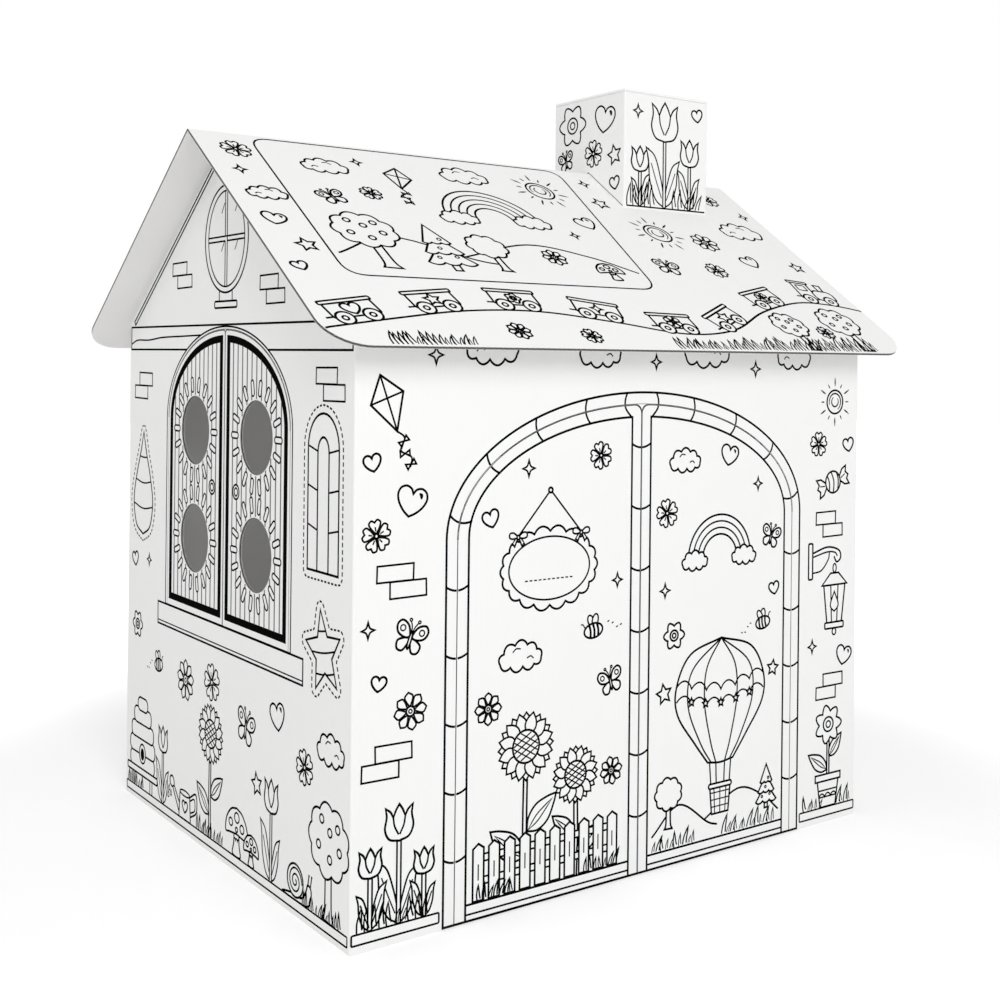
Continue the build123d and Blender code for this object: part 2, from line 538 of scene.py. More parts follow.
@dataclass(frozen=True)
class Sparkle:
    """A star of four points with hollow sides."""

    width: float = 20.0

    def draw(self) -> Drawing:
        """Draws the star round its middle.

        Returns:
            The drawing.
        """
        tips = np.array([(0, 1.15), (1, 0), (0, -1.15), (-1, 0)])
        runs = [(tip, 0.27 * (tip + after), after) for tip, after in zip(tips, np.roll(tips, -1, axis=0))]
        return Drawing(self.width / 2).shape(joined(*runs), Pen.FINE)


@dataclass(frozen=True)
class Star:
    """A star of five blunt points."""

    radius: float = 14.0
    waist: float = 0.5

    def outline(self) -> np.ndarray:
        """The star's ten corners."""
        reach = np.tile([self.radius, self.radius * self.waist], 5)
        return oval((0, 0), 1, 90, -270, 10) * reach[:, None]

    def draw(self) -> Drawing:
        """Draws the star round its middle."""
        return Drawing().shape(self.outline())


@dataclass(frozen=True)
class Cloud:
    """A cloud of scallops with two short lines of shade."""

    width: float = 60.0
    lines: bool = True

    def draw(self) -> Drawing:
        """Draws the cloud round its middle.

        Returns:
            The drawing.
        """
        rim = [(-0.9, -0.2), (-0.45, -0.34), (0.1, -0.36), (0.6, -0.32), (0.92, -0.1)]
        top = [(0.72, 0.2), (0.3, 0.4), (-0.25, 0.42), (-0.74, 0.16)]
        art = Drawing(self.width / 2).shape(bumps(rim + top, 0.34))
        if self.lines:
            art.curve([(-0.35, 0.18), (-0.2, 0.3), (0.0, 0.28)], Pen.HAIR)
            art.curve([(0.28, -0.08), (0.45, -0.02), (0.58, -0.12)], Pen.HAIR)
        return art


@dataclass(frozen=True)
class Sun:
    """A round sun with rays of two lengths."""

    radius: float = 15.0
    rays: int = 12

    def draw(self) -> Drawing:
        """Draws the sun round its middle.

        Returns:
            The drawing.
        """
        art = Drawing(self.radius)
        for number, (half, middle, tip) in enumerate(((0.07, 1.65, 2.1), (0.06, 1.5, 1.75))):
            ray = smooth([(0, 1.32), (half, middle), (0, tip), (-half, middle)], closed=True)
            art.ring(Drawing(art.unit).fill(ray), self.rays // 2, start=number * 360 / self.rays)
        art.disc((0, 0), 1).arc((0, 0), 0.72, -60, 200, Pen.FINE, 0.5)
        return art.arc((0, 0.02), 0.42, 120, 400, Pen.FINE, 0.5)


@dataclass(frozen=True)
class Leaf:
    """A pointed leaf with a slim vein, growing up from its stalk."""

    length: float = 40.0
    width: float = 18.0

    def draw(self) -> Drawing:
        """Draws the leaf up from its stalk.

        Returns:
            The drawing.
        """
        side = [(0, 0), (0.75, 0.2), (1.0, 0.5), (0.6, 0.8), (0.12, 1.0)]
        back = [(0.12, 1.0), (-0.35, 0.82), (-0.9, 0.5), (-0.75, 0.2), (0, 0)]
        vein = [(0, 0.04), (0.28, 0.35), (0.2, 0.66), (0.08, 0.86)]
        edge = [(0.08, 0.86), (-0.08, 0.6), (-0.18, 0.3), (0, 0.04)]
        art = Drawing((self.width / 2, self.length)).shape(joined(side, back))
        return art.line(joined(vein, edge), Pen.HAIR, closed=True)


@dataclass(frozen=True)
class Rosette:
    """A flower head of round lobes about a ring."""

    radius: float = 24.0
    lobes: int = 6

    def draw(self) -> Drawing:
        """Draws the flower head round its middle.

        Returns:
            The drawing.
        """
        half = 180 / self.lobes
        bulge = 0.34 / (2 * 0.66 * math.sin(math.radians(half))) + 0.06
        rim = oval((0, 0), 0.66, half, half + 360, self.lobes)
        art = Drawing(self.radius).shape(bumps(rim, bulge, steps=11))
        return art.disc((0, 0), 0.36).hoop((0, 0), 0.45 * 0.36)


@dataclass(frozen=True)
class Blossom:
    """A small flower head of notched petals with stamens."""

    radius: float = 14.0

    def draw(self) -> Drawing:
        """Draws the flower head round its middle.

        Returns:
            The drawing.
        """
        side = [(0.04, 0.16), (0.3, 0.5), (0.42, 0.82), (0.22, 1.0), (0, 0.86)]
        petal = Drawing(self.radius).shape(mirrored(side), Pen.FINE).line([(0, 0.3), (0, 0.58)], Pen.HAIR)
        return Drawing(self.radius).ring(petal, 5).disc((0, 0), 0.15, Pen.FINE, 10)


@dataclass(frozen=True)
class Daisy:
    """A flower head of narrow separate petals."""

    radius: float = 18.0
    petals: int = 8

    def draw(self) -> Drawing:
        """Draws the flower head round its middle.

        Returns:
            The drawing.
        """
        wide = 1.75 / self.petals
        side = [(0.02, 0.2), (wide, 0.55), (wide * 1.15, 0.8), (0.0, 1.0)]
        petal = Drawing(self.radius).shape(mirrored(side), Pen.FINE)
        art = Drawing(self.radius).ring(petal, self.petals, 0.06)
        return art.disc((0, 0), 0.27, Pen.FINE).hoop((0, 0), 0.11, Pen.HAIR, 10)


@dataclass(frozen=True)
class Tulip:
    """A tulip on a tall stem with two leaves."""

    height: float = 80.0
    head: float = 24.0

    def draw(self) -> Drawing:
        """Draws the flower up from the ground.

        Returns:
            The drawing.
        """
        foot = self.height - 1.15 * self.head
        low = [(0, 0), (0.2, 0.14), (0.33, 0.46), (0.36, 0.78), (0.42, 1.0)]
        high = [(0.42, 1.0), (0.22, 0.86), (0.09, 0.52), (0.02, 0.22), (0, 0)]
        art = Drawing()
        for reach, side in ((0.56 * self.height, -1), (0.46 * self.height, 1)):
            leaf = Drawing((side * reach, reach)).shape(joined(low, high), Pen.FINE)
            art.place(leaf.curve([(0.06, 0.16), (0.19, 0.46), (0.3, 0.74)], Pen.HAIR))
        art.shape(box((-2.2, 0), (2.2, foot + 2)), Pen.FINE)
        right = [(0, 0), (0.36, 0.1), (0.52, 0.42), (0.46, 0.8), (0.5, 1.08)]
        tip, middle = [(0.5, 1.08), (0.32, 0.94), (0.22, 0.76)], [(0.22, 0.76), (0.12, 0.98), (0, 1.15)]
        head = Drawing(self.head).shape(mirrored(right, tip, middle))
        for side in (1, -1):
            head.curve([(0.22 * side, 0.76), (0.17 * side, 0.48), (0.02 * side, 0.2)], Pen.FINE)
        return art.place(head, (0, foot))


@dataclass(frozen=True)
class Sunflower:
    """A sunflower with pointed petals and a netted middle on a stem with two leaves."""

    height: float = 150.0
    head: float = 34.0

    def draw(self) -> Drawing:
        """Draws the flower up from the ground.

        Returns:
            The drawing.
        """
        height, radius = self.height, self.head
        top = height - radius
        art = Drawing()
        for foot, middle, neck in ((-2.4, -3.4, -2.2), (2.4, 1.4, 2.2)):
            art.curve([(foot, 0), (middle, 0.4 * top), (neck, top)])
        art.place(Leaf(0.3 * height, 0.15 * height).draw(), (-2.5, 0.22 * top), 52)
        art.place(Leaf(0.28 * height, 0.14 * height).draw(), (2.0, 0.4 * top), -50, True)
        petal = Drawing(radius).shape(mirrored([(0, 0.3), (0.2, 0.58), (0.17, 0.82), (0, 1.04)]), Pen.FINE)
        head = Drawing(radius).ring(petal, 12).ring(petal, 12, start=15).disc((0, 0), 0.5)
        net = Drawing(radius)
        for step in (-0.3, -0.1, 0.1, 0.3):
            for rise in (-0.6, 0.6):
                net.line([(-1, step + rise), (1, step - rise)], Pen.HAIR)
        return art.place(head.inlay(net, oval((0, 0), 0.46 * radius)), (0, top))


@dataclass(frozen=True)
class PottedRose:
    """A flower with two leaves in a pot with a rim and a band."""

    height: float = 130.0
    pot: float = 40.0
    head: float = 25.0

    def draw(self) -> Drawing:
        """Draws the plant up from the ground.

        Returns:
            The drawing.
        """
        height, pot = self.height, self.pot
        stem = height - self.head
        art = Drawing().line([(-1.9, 0.7 * pot), (-1.9, stem)]).line([(1.9, 0.7 * pot), (1.9, stem)])
        art.place(Leaf(0.32 * height, 0.15 * height).draw(), (-1.8, pot), 58)
        art.place(Leaf(0.27 * height, 0.13 * height).draw(), (1.8, 1.35 * pot), -42, True)
        tub = Drawing(pot).shape([(-0.3, 0), (0.3, 0), (0.42, 0.72), (-0.42, 0.72)])
        tub.line([(-0.345, 0.27), (0.345, 0.27)], Pen.FINE).line([(-0.375, 0.45), (0.375, 0.45)], Pen.FINE)
        tub.line(bumps([(0.345, 0.27), (0.12, 0.27), (-0.12, 0.27), (-0.345, 0.27)], closed=False), Pen.FINE)
        art.place(tub.shape(box((-0.5, 0.7), (0.5, 0.88))))
        return art.place(Rosette(self.head, 7).draw(), (0, stem))


@dataclass(frozen=True)
class Butterfly:
    """A butterfly with plain wings and knobbed feelers."""

    width: float = 34.0

    def draw(self) -> Drawing:
        """Draws the butterfly round its middle.

        Returns:
            The drawing.
        """
        upper = [(0.08, 0.1), (0.3, 0.62), (0.75, 0.82), (1.0, 0.55), (0.85, 0.15), (0.4, -0.02)]
        lower = [(0.08, 0.02), (0.42, -0.06), (0.74, -0.28), (0.66, -0.66), (0.32, -0.72), (0.1, -0.35)]
        art = Drawing(self.width / 2)
        wing = Drawing(art.unit).shape(smooth(lower, True)).shape(smooth(upper, True))
        wing.hoop((0.62, 0.42), 0.16, Pen.HAIR, 12)
        feeler = Drawing(art.unit).curve([(0.03, 0.3), (0.1, 0.62), (0.24, 0.86)], Pen.HAIR)
        feeler.hoop((0.28, 0.93), 0.075, Pen.HAIR, 10)
        for flip in (False, True):
            art.place(wing, flip=flip).place(feeler, flip=flip)
        return art.disc((0, -0.1), (0.09, 0.48), Pen.FINE)


@dataclass(frozen=True)
class Bee:
    """A striped bee with two wings and a dotted trail."""

    width: float = 26.0

    def draw(self) -> Drawing:
        """Draws the bee round its middle.

        Returns:
            The drawing.
        """
        art = Drawing(self.width / 2)
        wing = Drawing(art.unit).disc((0, 0.62), (0.3, 0.52), Pen.FINE)
        art.place(wing, (0.05, 0.2), 18).place(wing, (0.05, 0.2), -22).disc((0, 0), (0.95, 0.58))
        edge = np.array([(-0.1, -0.7), (0.02, 0), (-0.1, 0.7), (0.1, 0.7), (0.22, 0), (0.1, -0.7)])
        body = art.shapes[-1]
        for x in (-0.42, -0.02, 0.38):
            band = smooth(edge + (x, 0), True)
            art.fill(band[inside(band * art.unit, body)])
        art.curve([(-0.8, 0.35), (-1.0, 0.7), (-1.2, 0.75)], Pen.HAIR)
        for step in range(1, 5):
            x, y = 1.1 + 0.42 * step, 0.35 * math.sin(step * 1.4)
            art.line([(x, y), (x + 0.2, y + 0.07)], Pen.HAIR)
        return art


@dataclass(frozen=True)
class Toadstool:
    """A toadstool with a spotted cap."""

    width: float = 44.0

    def draw(self) -> Drawing:
        """Draws the toadstool up from the ground.

        Returns:
            The drawing.
        """
        stem = [(0, 0), (0.3, 0.04), (0.36, 0.16), (0.24, 0.5), (0.22, 0.86), (0.2, 0.98), (0, 1.0)]
        art = Drawing(self.width / 2).shape(mirrored(stem))
        art.line(bumps([(0.24, 0.62), (0.08, 0.62), (-0.08, 0.62), (-0.24, 0.62)], 0.5, False), Pen.FINE)
        art.shape(mirrored([(0, 0.88), (0.6, 0.82), (0.98, 0.8), (0.9, 1.3), (0.5, 1.72), (0, 1.86)]))
        for x, y, size in ((0.02, 1.5, 0.19), (-0.52, 1.22, 0.15), (0.48, 1.18, 0.16), (0.0, 1.04, 0.09)):
            art.hoop((x, y), (1.1 * size, size), steps=16)
        return art


@dataclass(frozen=True)
class RoundTree:
    """A tree with a scalloped crown, fruit and a forked trunk."""

    height: float = 90.0
    fruit: bool = True

    def draw(self) -> Drawing:
        """Draws the tree up from the ground.

        Returns:
            The drawing.
        """
        right, left = [(0.1, 0), (0.058, 0.1), (0.05, 0.4)], [(-0.05, 0.4), (-0.058, 0.1), (-0.1, 0)]
        art = Drawing(self.height).shape(joined(right, [right[-1], left[0]], left))
        art.shape(bumps(oval((0, 0.66), (0.31, 0.27), steps=9), 0.3))
        if self.fruit:
            for spot in ((-0.17, 0.6), (0.02, 0.74), (0.18, 0.62), (-0.12, 0.82), (0.02, 0.52), (0.15, 0.8)):
                art.hoop(spot, 0.036, steps=12)
        return art


@dataclass(frozen=True)
class FirTree:
    """A fir of three tiers with round hangings."""

    height: float = 90.0

    def draw(self) -> Drawing:
        """Draws the fir up from the ground.

        Returns:
            The drawing.
        """
        art = Drawing(self.height).shape(box((-0.05, 0), (0.05, 0.2)))
        for low, high, half in ((0.16, 0.56, 0.33), (0.38, 0.78, 0.26), (0.6, 1.0, 0.19)):
            hem = bumps([(-half, low), (-half / 3, low), (half / 3, low), (half, low)], 0.22, False)
            art.shape(np.vstack([hem, [(0, high)]]))
        for spot in ((-0.13, 0.27), (0.12, 0.3), (-0.02, 0.48), (0.07, 0.68)):
            art.hoop(spot, 0.026, Pen.HAIR, 10)
        return art


@dataclass(frozen=True)
class Snail:
    """A snail with a coiled shell."""

    width: float = 46.0

    def draw(self) -> Drawing:
        """Draws the snail up from the ground.

        Returns:
            The drawing.
        """
        front = [(0.72, 0.5), (0.86, 0.78), (1.08, 0.7), (1.1, 0.4), (0.85, 0.06), (0, 0)]
        body = [(-1.0, 0.02), (-0.4, 0.16), (0.4, 0.2)] + front
        art = Drawing(self.width / 2).shape(smooth(body, True))
        for x in (0.86, 1.05):
            art.line([(x, 0.74), (x + 0.08, 1.08)], Pen.FINE)
            art.fill(oval((x + 0.09, 1.12), 0.05, steps=8))
        art.disc((-0.05, 0.66), (0.58, 0.56))
        turns = np.linspace(0, 2.2, 46)
        reach = 0.5 * (1 - turns / 2.45)
        coil = (-0.05 + reach * np.cos(2 * np.pi * turns), 0.64 + reach * np.sin(2 * np.pi * turns))
        return art.line(np.transpose(coil), Pen.FINE)


@dataclass(frozen=True)
class Kite:
    """A kite with crossed spars and a tail of bows."""

    width: float = 44.0

    def draw(self) -> Drawing:
        """Draws the kite round its spars' crossing.

        Returns:
            The drawing.
        """
        tail = smooth([(0, -1.5), (0.25, -1.9), (-0.1, -2.35), (0.3, -2.8), (0.1, -3.2)])
        art = Drawing(self.width / 2).line(tail, Pen.FINE)
        bow = Drawing(art.unit)
        for x in (0.24, -0.24):
            bow.line([(0, 0), (x, 0.13), (x, -0.13)], Pen.FINE, closed=True)
        for share, turn in ((0.33, 20), (0.62, -15), (0.93, 10)):
            art.place(bow, tail[int(share * (len(tail) - 1))], turn)
        art.shape([(0, 1.05), (0.85, 0), (0, -1.5), (-0.85, 0)])
        return art.line([(0, 1.05), (0, -1.5)], Pen.FINE).line([(-0.85, 0), (0.85, 0)], Pen.FINE)


@dataclass(frozen=True)
class AirBalloon:
    """A hot-air balloon with gores, a scalloped band, ropes and a wicker basket."""

    height: float = 170.0

    def draw(self) -> Drawing:
        """Draws the balloon up from the foot of its basket.

        Returns:
            The drawing.
        """
        art = Drawing(self.height)
        for x in (0.085, 0.035, -0.035, -0.085):
            art.line([(x * 0.85, 0.16), (x, 0.31)], Pen.FINE)
        side = [(0.1, 0.3), (0.2, 0.42), (0.335, 0.6), (0.345, 0.76), (0.24, 0.93), (0, 1.0)]
        art.shape(np.vstack([joined([(-0.1, 0.3), (0, 0.288), (0.1, 0.3)]), mirrored(side)]), Pen.KEY)
        gore = np.array([(0.1, 0.295), (0.22, 0.42), (0.355, 0.64), (0.31, 0.84), (0, 1.0)])
        for lean in (-0.36, 0.36, -0.72, 0.72):
            art.curve(gore * (lean, 1), Pen.FINE)
        hem = np.array([(x, 0.735 - self.sag(x)) for x in np.linspace(0.345, -0.345, 7)])
        band = Drawing(art.unit)
        for drop in (0, 0.085):
            band.line(bumps(hem - (0, drop), 0.35, False), Pen.FINE)
        art.inlay(band)
        for x in (-0.23, -0.12, 0, 0.12, 0.23):
            art.place(Star(0.024 * self.height).draw(), (x, 0.66 - self.sag(x)))
        art.shape([(-0.065, 0.0), (0.065, 0.0), (0.08, 0.15), (-0.08, 0.15)])
        weave = Drawing(art.unit)
        for row in (0.04, 0.08, 0.12):
            weave.line([(-0.1, row), (0.1, row)], Pen.HAIR)
        for x in (-0.04, 0, 0.04):
            weave.line([(x, 0), (x * 1.2, 0.15)], Pen.HAIR)
        return art.inlay(weave).shape(round_box((-0.09, 0.145), (0.09, 0.172), 0.012))

    @staticmethod
    def sag(x: float) -> float:
        """How far the band hangs down at a place across the balloon, as seen on its round skin."""
        return 0.03 * math.cos(2.2 * x * math.pi)


@dataclass(frozen=True)
class Rainbow:
    """Half a ring of arches that ends in two clouds."""

    width: float = 110.0
    arches: int = 4

    def draw(self) -> Drawing:
        """Draws the rainbow up from the middle of its foot.

        Returns:
            The drawing.
        """
        art = Drawing(self.width / 2)
        for step in range(self.arches):
            pen = Pen.LINE if step in (0, self.arches - 1) else Pen.FINE
            art.arc((0, 0), 0.86 - 0.13 * step, 0, 180, pen)
        cloud = Cloud(0.36 * self.width, lines=False).draw()
        return art.place(cloud, (-0.68, -0.02)).place(cloud, (0.68, 0.0), flip=True)


@dataclass(frozen=True)
class NamePlaque:
    """A bare plaque with a scalloped edge, hung by a cord from a nail, with two bows."""

    width: float = 112.0
    height: float = 74.0

    def draw(self) -> Drawing:
        """Draws the plaque round its middle.

        Returns:
            The drawing.
        """
        w, h = self.width / 2, self.height / 2
        nail = (0.0, h + 0.62 * w)
        art = Drawing()
        for side in (-1, 1):
            art.line([(side * 0.62 * w, 0.9 * h), nail], Pen.FINE)
        art.disc(nail, 2.6, steps=12)
        art.shape(bumps(oval((0, 0), (0.94 * w, 0.94 * h), 10, 370, 18), 0.3, steps=7))
        art.hoop((0, 0), (0.82 * w, 0.8 * h))
        for x in (-0.64 * w, 0.64 * w):
            art.place(Bow(0.34 * w).draw(), (x, 0.84 * h))
        for dash in dashed(np.array([(-0.5 * w, -0.28 * h), (0.5 * w, -0.28 * h)]), 3.4, 2.2, closed=False):
            art.line(dash, Pen.HAIR)
        return art


@dataclass(frozen=True)
class Bow:
    """A ribbon bow with two loops and two tails."""

    width: float = 20.0

    def draw(self) -> Drawing:
        """Draws the bow round its knot.

        Returns:
            The drawing.
        """
        loop = smooth([(0.08, 0.02), (0.5, 0.42), (0.95, 0.4), (1.0, 0.02), (0.62, -0.12)], True)
        tail = [(0.08, -0.1), (0.42, -0.85), (0.62, -0.62), (0.78, -0.7), (0.3, -0.06)]
        half = Drawing(self.width / 2).shape(tail, Pen.FINE).shape(loop, Pen.FINE)
        return Drawing(half.unit).place(half).place(half, flip=True).disc((0, 0), (0.16, 0.2), Pen.FINE, 12)


@dataclass(frozen=True)
class Lantern:
    """A wall lantern that hangs from a scrolled bracket."""

    height: float = 110.0

    def draw(self) -> Drawing:
        """Draws the lantern down from its bracket's foot at the left.

        Returns:
            The drawing.
        """
        art = Drawing(self.height).shape(round_box((-0.03, -0.12), (0.03, 0.24), 0.015))
        art.curve([(0.03, 0.14), (0.25, 0.19), (0.42, 0.15), (0.45, 0.07), (0.39, 0.03), (0.35, 0.09)])
        art.curve([(0.03, 0.1), (0.24, 0.14), (0.36, 0.13), (0.4, 0.09)], Pen.FINE)
        art.curve([(0.03, -0.06), (0.16, -0.04), (0.26, 0.06), (0.28, 0.135)], Pen.FINE)
        lamp = Drawing(self.height).hoop((0, -0.03), (0.025, 0.045), steps=14)
        lamp.shape([(-0.19, -0.2), (0.19, -0.2), (0.06, -0.08), (-0.06, -0.08)])
        lamp.shape([(-0.11, -0.58), (0.11, -0.58), (0.16, -0.2), (-0.16, -0.2)])
        lamp.line([(-0.04, -0.58), (-0.055, -0.2)], Pen.FINE).line([(0.04, -0.58), (0.055, -0.2)], Pen.FINE)
        lamp.shape(mirrored([(0, 0), (0.05, 0.04), (0.055, 0.09), (0.0, 0.2)]) + (0, -0.47), Pen.FINE)
        lamp.shape(round_box((-0.14, -0.64), (0.14, -0.58), 0.012))
        return art.place(lamp.disc((0, -0.675), (0.028, 0.034), Pen.FINE, 14), (0.36, 0))


@dataclass(frozen=True)
class WateringCan:
    """A watering can with a rose on its spout and three drops."""

    width: float = 62.0

    def draw(self) -> Drawing:
        """Draws the can up from the ground.

        Returns:
            The drawing.
        """
        art = Drawing(self.width / 2).curve([(0.42, 0.82), (0.95, 1.05), (1.0, 0.5), (0.5, 0.2)])
        art.curve([(0.42, 0.7), (0.82, 0.86), (0.86, 0.52), (0.5, 0.34)], Pen.FINE)
        art.shape([(-0.4, 0.1), (-0.36, 0.4), (-0.98, 1.02), (-1.06, 0.92)])
        art.shape(smooth([(-1.2, 1.12), (-0.98, 1.16), (-0.86, 0.94), (-1.02, 0.82), (-1.2, 0.9)], True))
        art.shape([(-0.44, 0), (0.52, 0), (0.44, 0.86), (-0.36, 0.86)])
        art.disc((0.04, 0.86), (0.4, 0.09), Pen.FINE)
        art.place(Heart(0.2 * self.width, gloss=False).draw(), (0.05, 0.42))
        drop = mirrored([(0, -0.08), (0.06, -0.04), (0.05, 0.03), (0, 0.12)])
        for spot in ((-1.3, 0.7), (-1.14, 0.56), (-1.36, 0.46)):
            art.line(drop + spot, Pen.HAIR, closed=True)
        return art


@dataclass(frozen=True)
class Beehive:
    """A straw beehive on a stand."""

    height: float = 86.0

    def draw(self) -> Drawing:
        """Draws the hive up from the ground.

        Returns:
            The drawing.
        """
        art = Drawing(self.height)
        for x in (-0.28, 0.22):
            art.shape(box((x, 0), (x + 0.06, 0.16)), Pen.FINE)
        for low, half in ((0.2, 0.34), (0.36, 0.35), (0.52, 0.31), (0.68, 0.24)):
            art.shape(round_box((-half, low), (half, low + 0.17), 0.068))
        art.shape(round_box((-0.14, 0.82), (0.14, 0.96), 0.068))
        art.disc((0, 0.37), (0.085, 0.1)).fill(oval((0, 0.365), (0.05, 0.065), steps=16))
        return art.shape(round_box((-0.42, 0.14), (0.42, 0.21), 0.015))


@dataclass(frozen=True)
class Sweet:
    """A striped sweet in a twisted wrapper."""

    width: float = 44.0

    def draw(self) -> Drawing:
        """Draws the sweet round its middle.

        Returns:
            The drawing.
        """
        art = Drawing(self.width / 2)
        top = [(0.42, 0.06), (0.72, 0.36), (1.0, 0.42), (0.9, 0.16)]
        low = [(0.9, -0.16), (1.0, -0.42), (0.72, -0.36)]
        fan = Drawing(art.unit).shape(top + [(1.04, 0)] + low + [(0.42, -0.06)])
        fan.line([(0.55, 0), (0.85, 0.08)], Pen.HAIR)
        bands = Drawing(art.unit)
        for x in (-0.32, -0.02, 0.28):
            bands.curve([(x - 0.14, -0.55), (x + 0.08, 0), (x + 0.02, 0.55)], Pen.FINE)
        return art.place(fan).place(fan, flip=True).disc((0, 0), 0.48).inlay(bands)


@dataclass(frozen=True)
class Wagon:
    """A toy wagon with two wheels and a plain figure on its side, or the engine where it has none."""

    width: float = 68.0
    figure: Optional[Drawing] = None

    def draw(self) -> Drawing:
        """Draws the wagon up from its rail.

        Returns:
            The drawing.
        """
        art = Drawing(self.width / 2)
        if self.figure is None:
            art.shape([(0.35, 0.9), (0.3, 1.38), (0.62, 1.38), (0.56, 0.9)])
            art.shape([(-0.86, 0.28), (-0.86, 1.4), (-0.08, 1.4), (-0.08, 0.28)])
            art.shape(round_box((-0.68, 0.86), (-0.26, 1.22), 0.06), Pen.FINE)
            art.shape(round_box((-0.98, 1.36), (0.02, 1.5), 0.06))
            art.shape(round_box((-0.1, 0.28), (0.9, 0.96), 0.26))
        else:
            art.shape(round_box((-0.86, 0.28), (0.86, 1.05), 0.1))
            art.shape(round_box((-0.94, 0.98), (0.94, 1.14), 0.05)).place(self.figure, (0, 0.66))
        art.line([(-1.12, 0.36), (-0.86, 0.36)])
        for x in (-0.5, 0.5):
            art.disc((x, 0.26), 0.3).hoop((x, 0.26), 0.1, steps=12)
        return art


@dataclass(frozen=True)
class BrickPair:
    """Two bricks of a wall, one set half over the other."""

    width: float = 40.0
    height: float = 16.0
    flip: bool = False

    def draw(self) -> Drawing:
        """Draws the bricks round the middle of their shared joint.

        Returns:
            The drawing.
        """
        pair = Drawing((self.width, self.height))
        pair.line([(-0.68, 0), (0.32, 0.01), (0.33, 1), (-0.67, 0.97)], Pen.FINE, closed=True)
        pair.line([(-0.32, -1), (0.69, -0.97), (0.68, 0), (-0.32, -0.01)], Pen.FINE, closed=True)
        return Drawing().place(pair, flip=self.flip)


@dataclass(frozen=True)
class AtticWindow:
    """An oval attic window with crossed bars on a small sill."""

    width: float = 74.0
    height: float = 112.0
    bar: float = 2.6

    def draw(self) -> Drawing:
        """Draws the window round its middle.

        Returns:
            The drawing.
        """
        w, h = self.width / 2, self.height / 2
        art = Drawing().shape(round_box((-0.52 * w, -1.28 * h), (0.52 * w, -1.16 * h), 2.0))
        for x in (-0.3 * w, 0.3 * w):
            art.line([(x, -1.16 * h), (x, -0.94 * h)], Pen.FINE)
        art.disc((0, 0), (w, h)).hoop((0, 0), (0.84 * w, 0.89 * h))
        bars = Drawing()
        for x in (-self.bar, self.bar):
            bars.line([(x, -h), (x, h)], Pen.FINE).line([(-w, x), (w, x)], Pen.FINE)
        bars.hide(box((-self.bar, -self.bar), (self.bar, self.bar)))
        art.inlay(bars, oval((0, 0), (0.84 * w, 0.89 * h)))
        glint = Drawing().line([(0, 0.16 * w), (0, 0.4 * w)], Pen.HAIR)
        for spot in oval((0, 0), (0.44 * w, 0.5 * h), 45, 405, 4):
            art.place(glint, spot, -35)
        return art


class Figure(Enum):
    """Plain hollow figures that stand beside the window."""

    STAR = "star"
    DROP = "drop"
    ARCH = "arch"


@dataclass(frozen=True)
class HollowFigure:
    """A tall hollow figure with cross lines inside and a dashed line all round."""

    kind: Figure
    width: float = 60.0
    height: float = 110.0

    def _side(self) -> np.ndarray:
        """Outlines the figure for a half width and half height of 1.

        Returns:
            The closed outline.
        """
        if self.kind is Figure.STAR:
            return Star(1.0, 0.46).outline()
        if self.kind is Figure.DROP:
            return mirrored([(0, -1), (0.72, -0.82), (1, -0.35), (0.72, 0.15), (0.3, 0.6), (0, 1)])
        return np.vstack([[(-1, -1), (1, -1)], oval((0, 0.55), (1, 0.45), 0, 180, 16)])

    def draw(self) -> Drawing:
        """Draws the figure round its middle.

        Returns:
            The drawing.
        """
        art = Drawing((self.width / 2, self.height / 2)).shape(self._side(), Pen.KEY)
        outline = art.shapes[-1]
        cross = Drawing(art.unit)
        for step in (-0.5, 0.0, 0.5):
            cross.curve([(-1, step + 0.08), (0, step), (1, step + 0.06)], Pen.FINE)
        art.inlay(cross)
        if self.kind is Figure.ARCH:
            niche = oval((0, 0.5), (0.36, 0.2), 0, 180, 12)
            art.shape(np.vstack([[(-0.36, -1), (0.36, -1)], niche]), Pen.KEY)
        rim = outward(outline, 8.0)
        art.place(Drawing(strokes=[Stroke(dash, Pen.FINE.value) for dash in dashed(rim, 4.2, 2.6)]))
        art.shapes.append(rim)
        return art


@dataclass(frozen=True)
class Hills:
    """Two rolling ground lines."""

    width: float = 200.0
    height: float = 24.0

    def draw(self) -> Drawing:
        """Draws the hills from the left end of the ground."""
        art = Drawing((self.width, self.height)).curve([(0, 0.3), (0.2, 0.95), (0.42, 0.35), (0.5, 0.22)])
        return art.curve([(0.4, 0.42), (0.66, 1), (0.86, 0.7), (1, 0.2)])


@dataclass(frozen=True)
class Put:
    """A motif set down at one place of a panel, turned by degrees or flipped."""

    motif: object
    x: float
    y: float
    turn: float = 0.0
    flip: bool = False


# Panels, ink and what repeats


def outer_offset(node: str, normal: Vector) -> float:
    """Finds a CAD node's outermost flat face.

    Args:
        node: the node's name.
        normal: the face's normal.

    Returns:
        How far from the origin the face lies, in metres.
    """
    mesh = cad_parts[node].data
    faces = [face for face in mesh.polygons if face.normal.dot(normal) > 0.9999]
    return max(mesh.vertices[face.vertices[0]].co.dot(normal) for face in faces)


def slope_normal(side: int) -> Vector:
    """Finds the roof's largest slanted upper face.

    Args:
        side: -1 for the front slope, 1 for the back one.

    Returns:
        The face's normal.
    """
    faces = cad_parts["roof"].data.polygons
    slanted = [face for face in faces if face.normal.z > 0.3 and face.normal.y * side > 0.3]
    return max(slanted, key=lambda face: face.area).normal.copy()


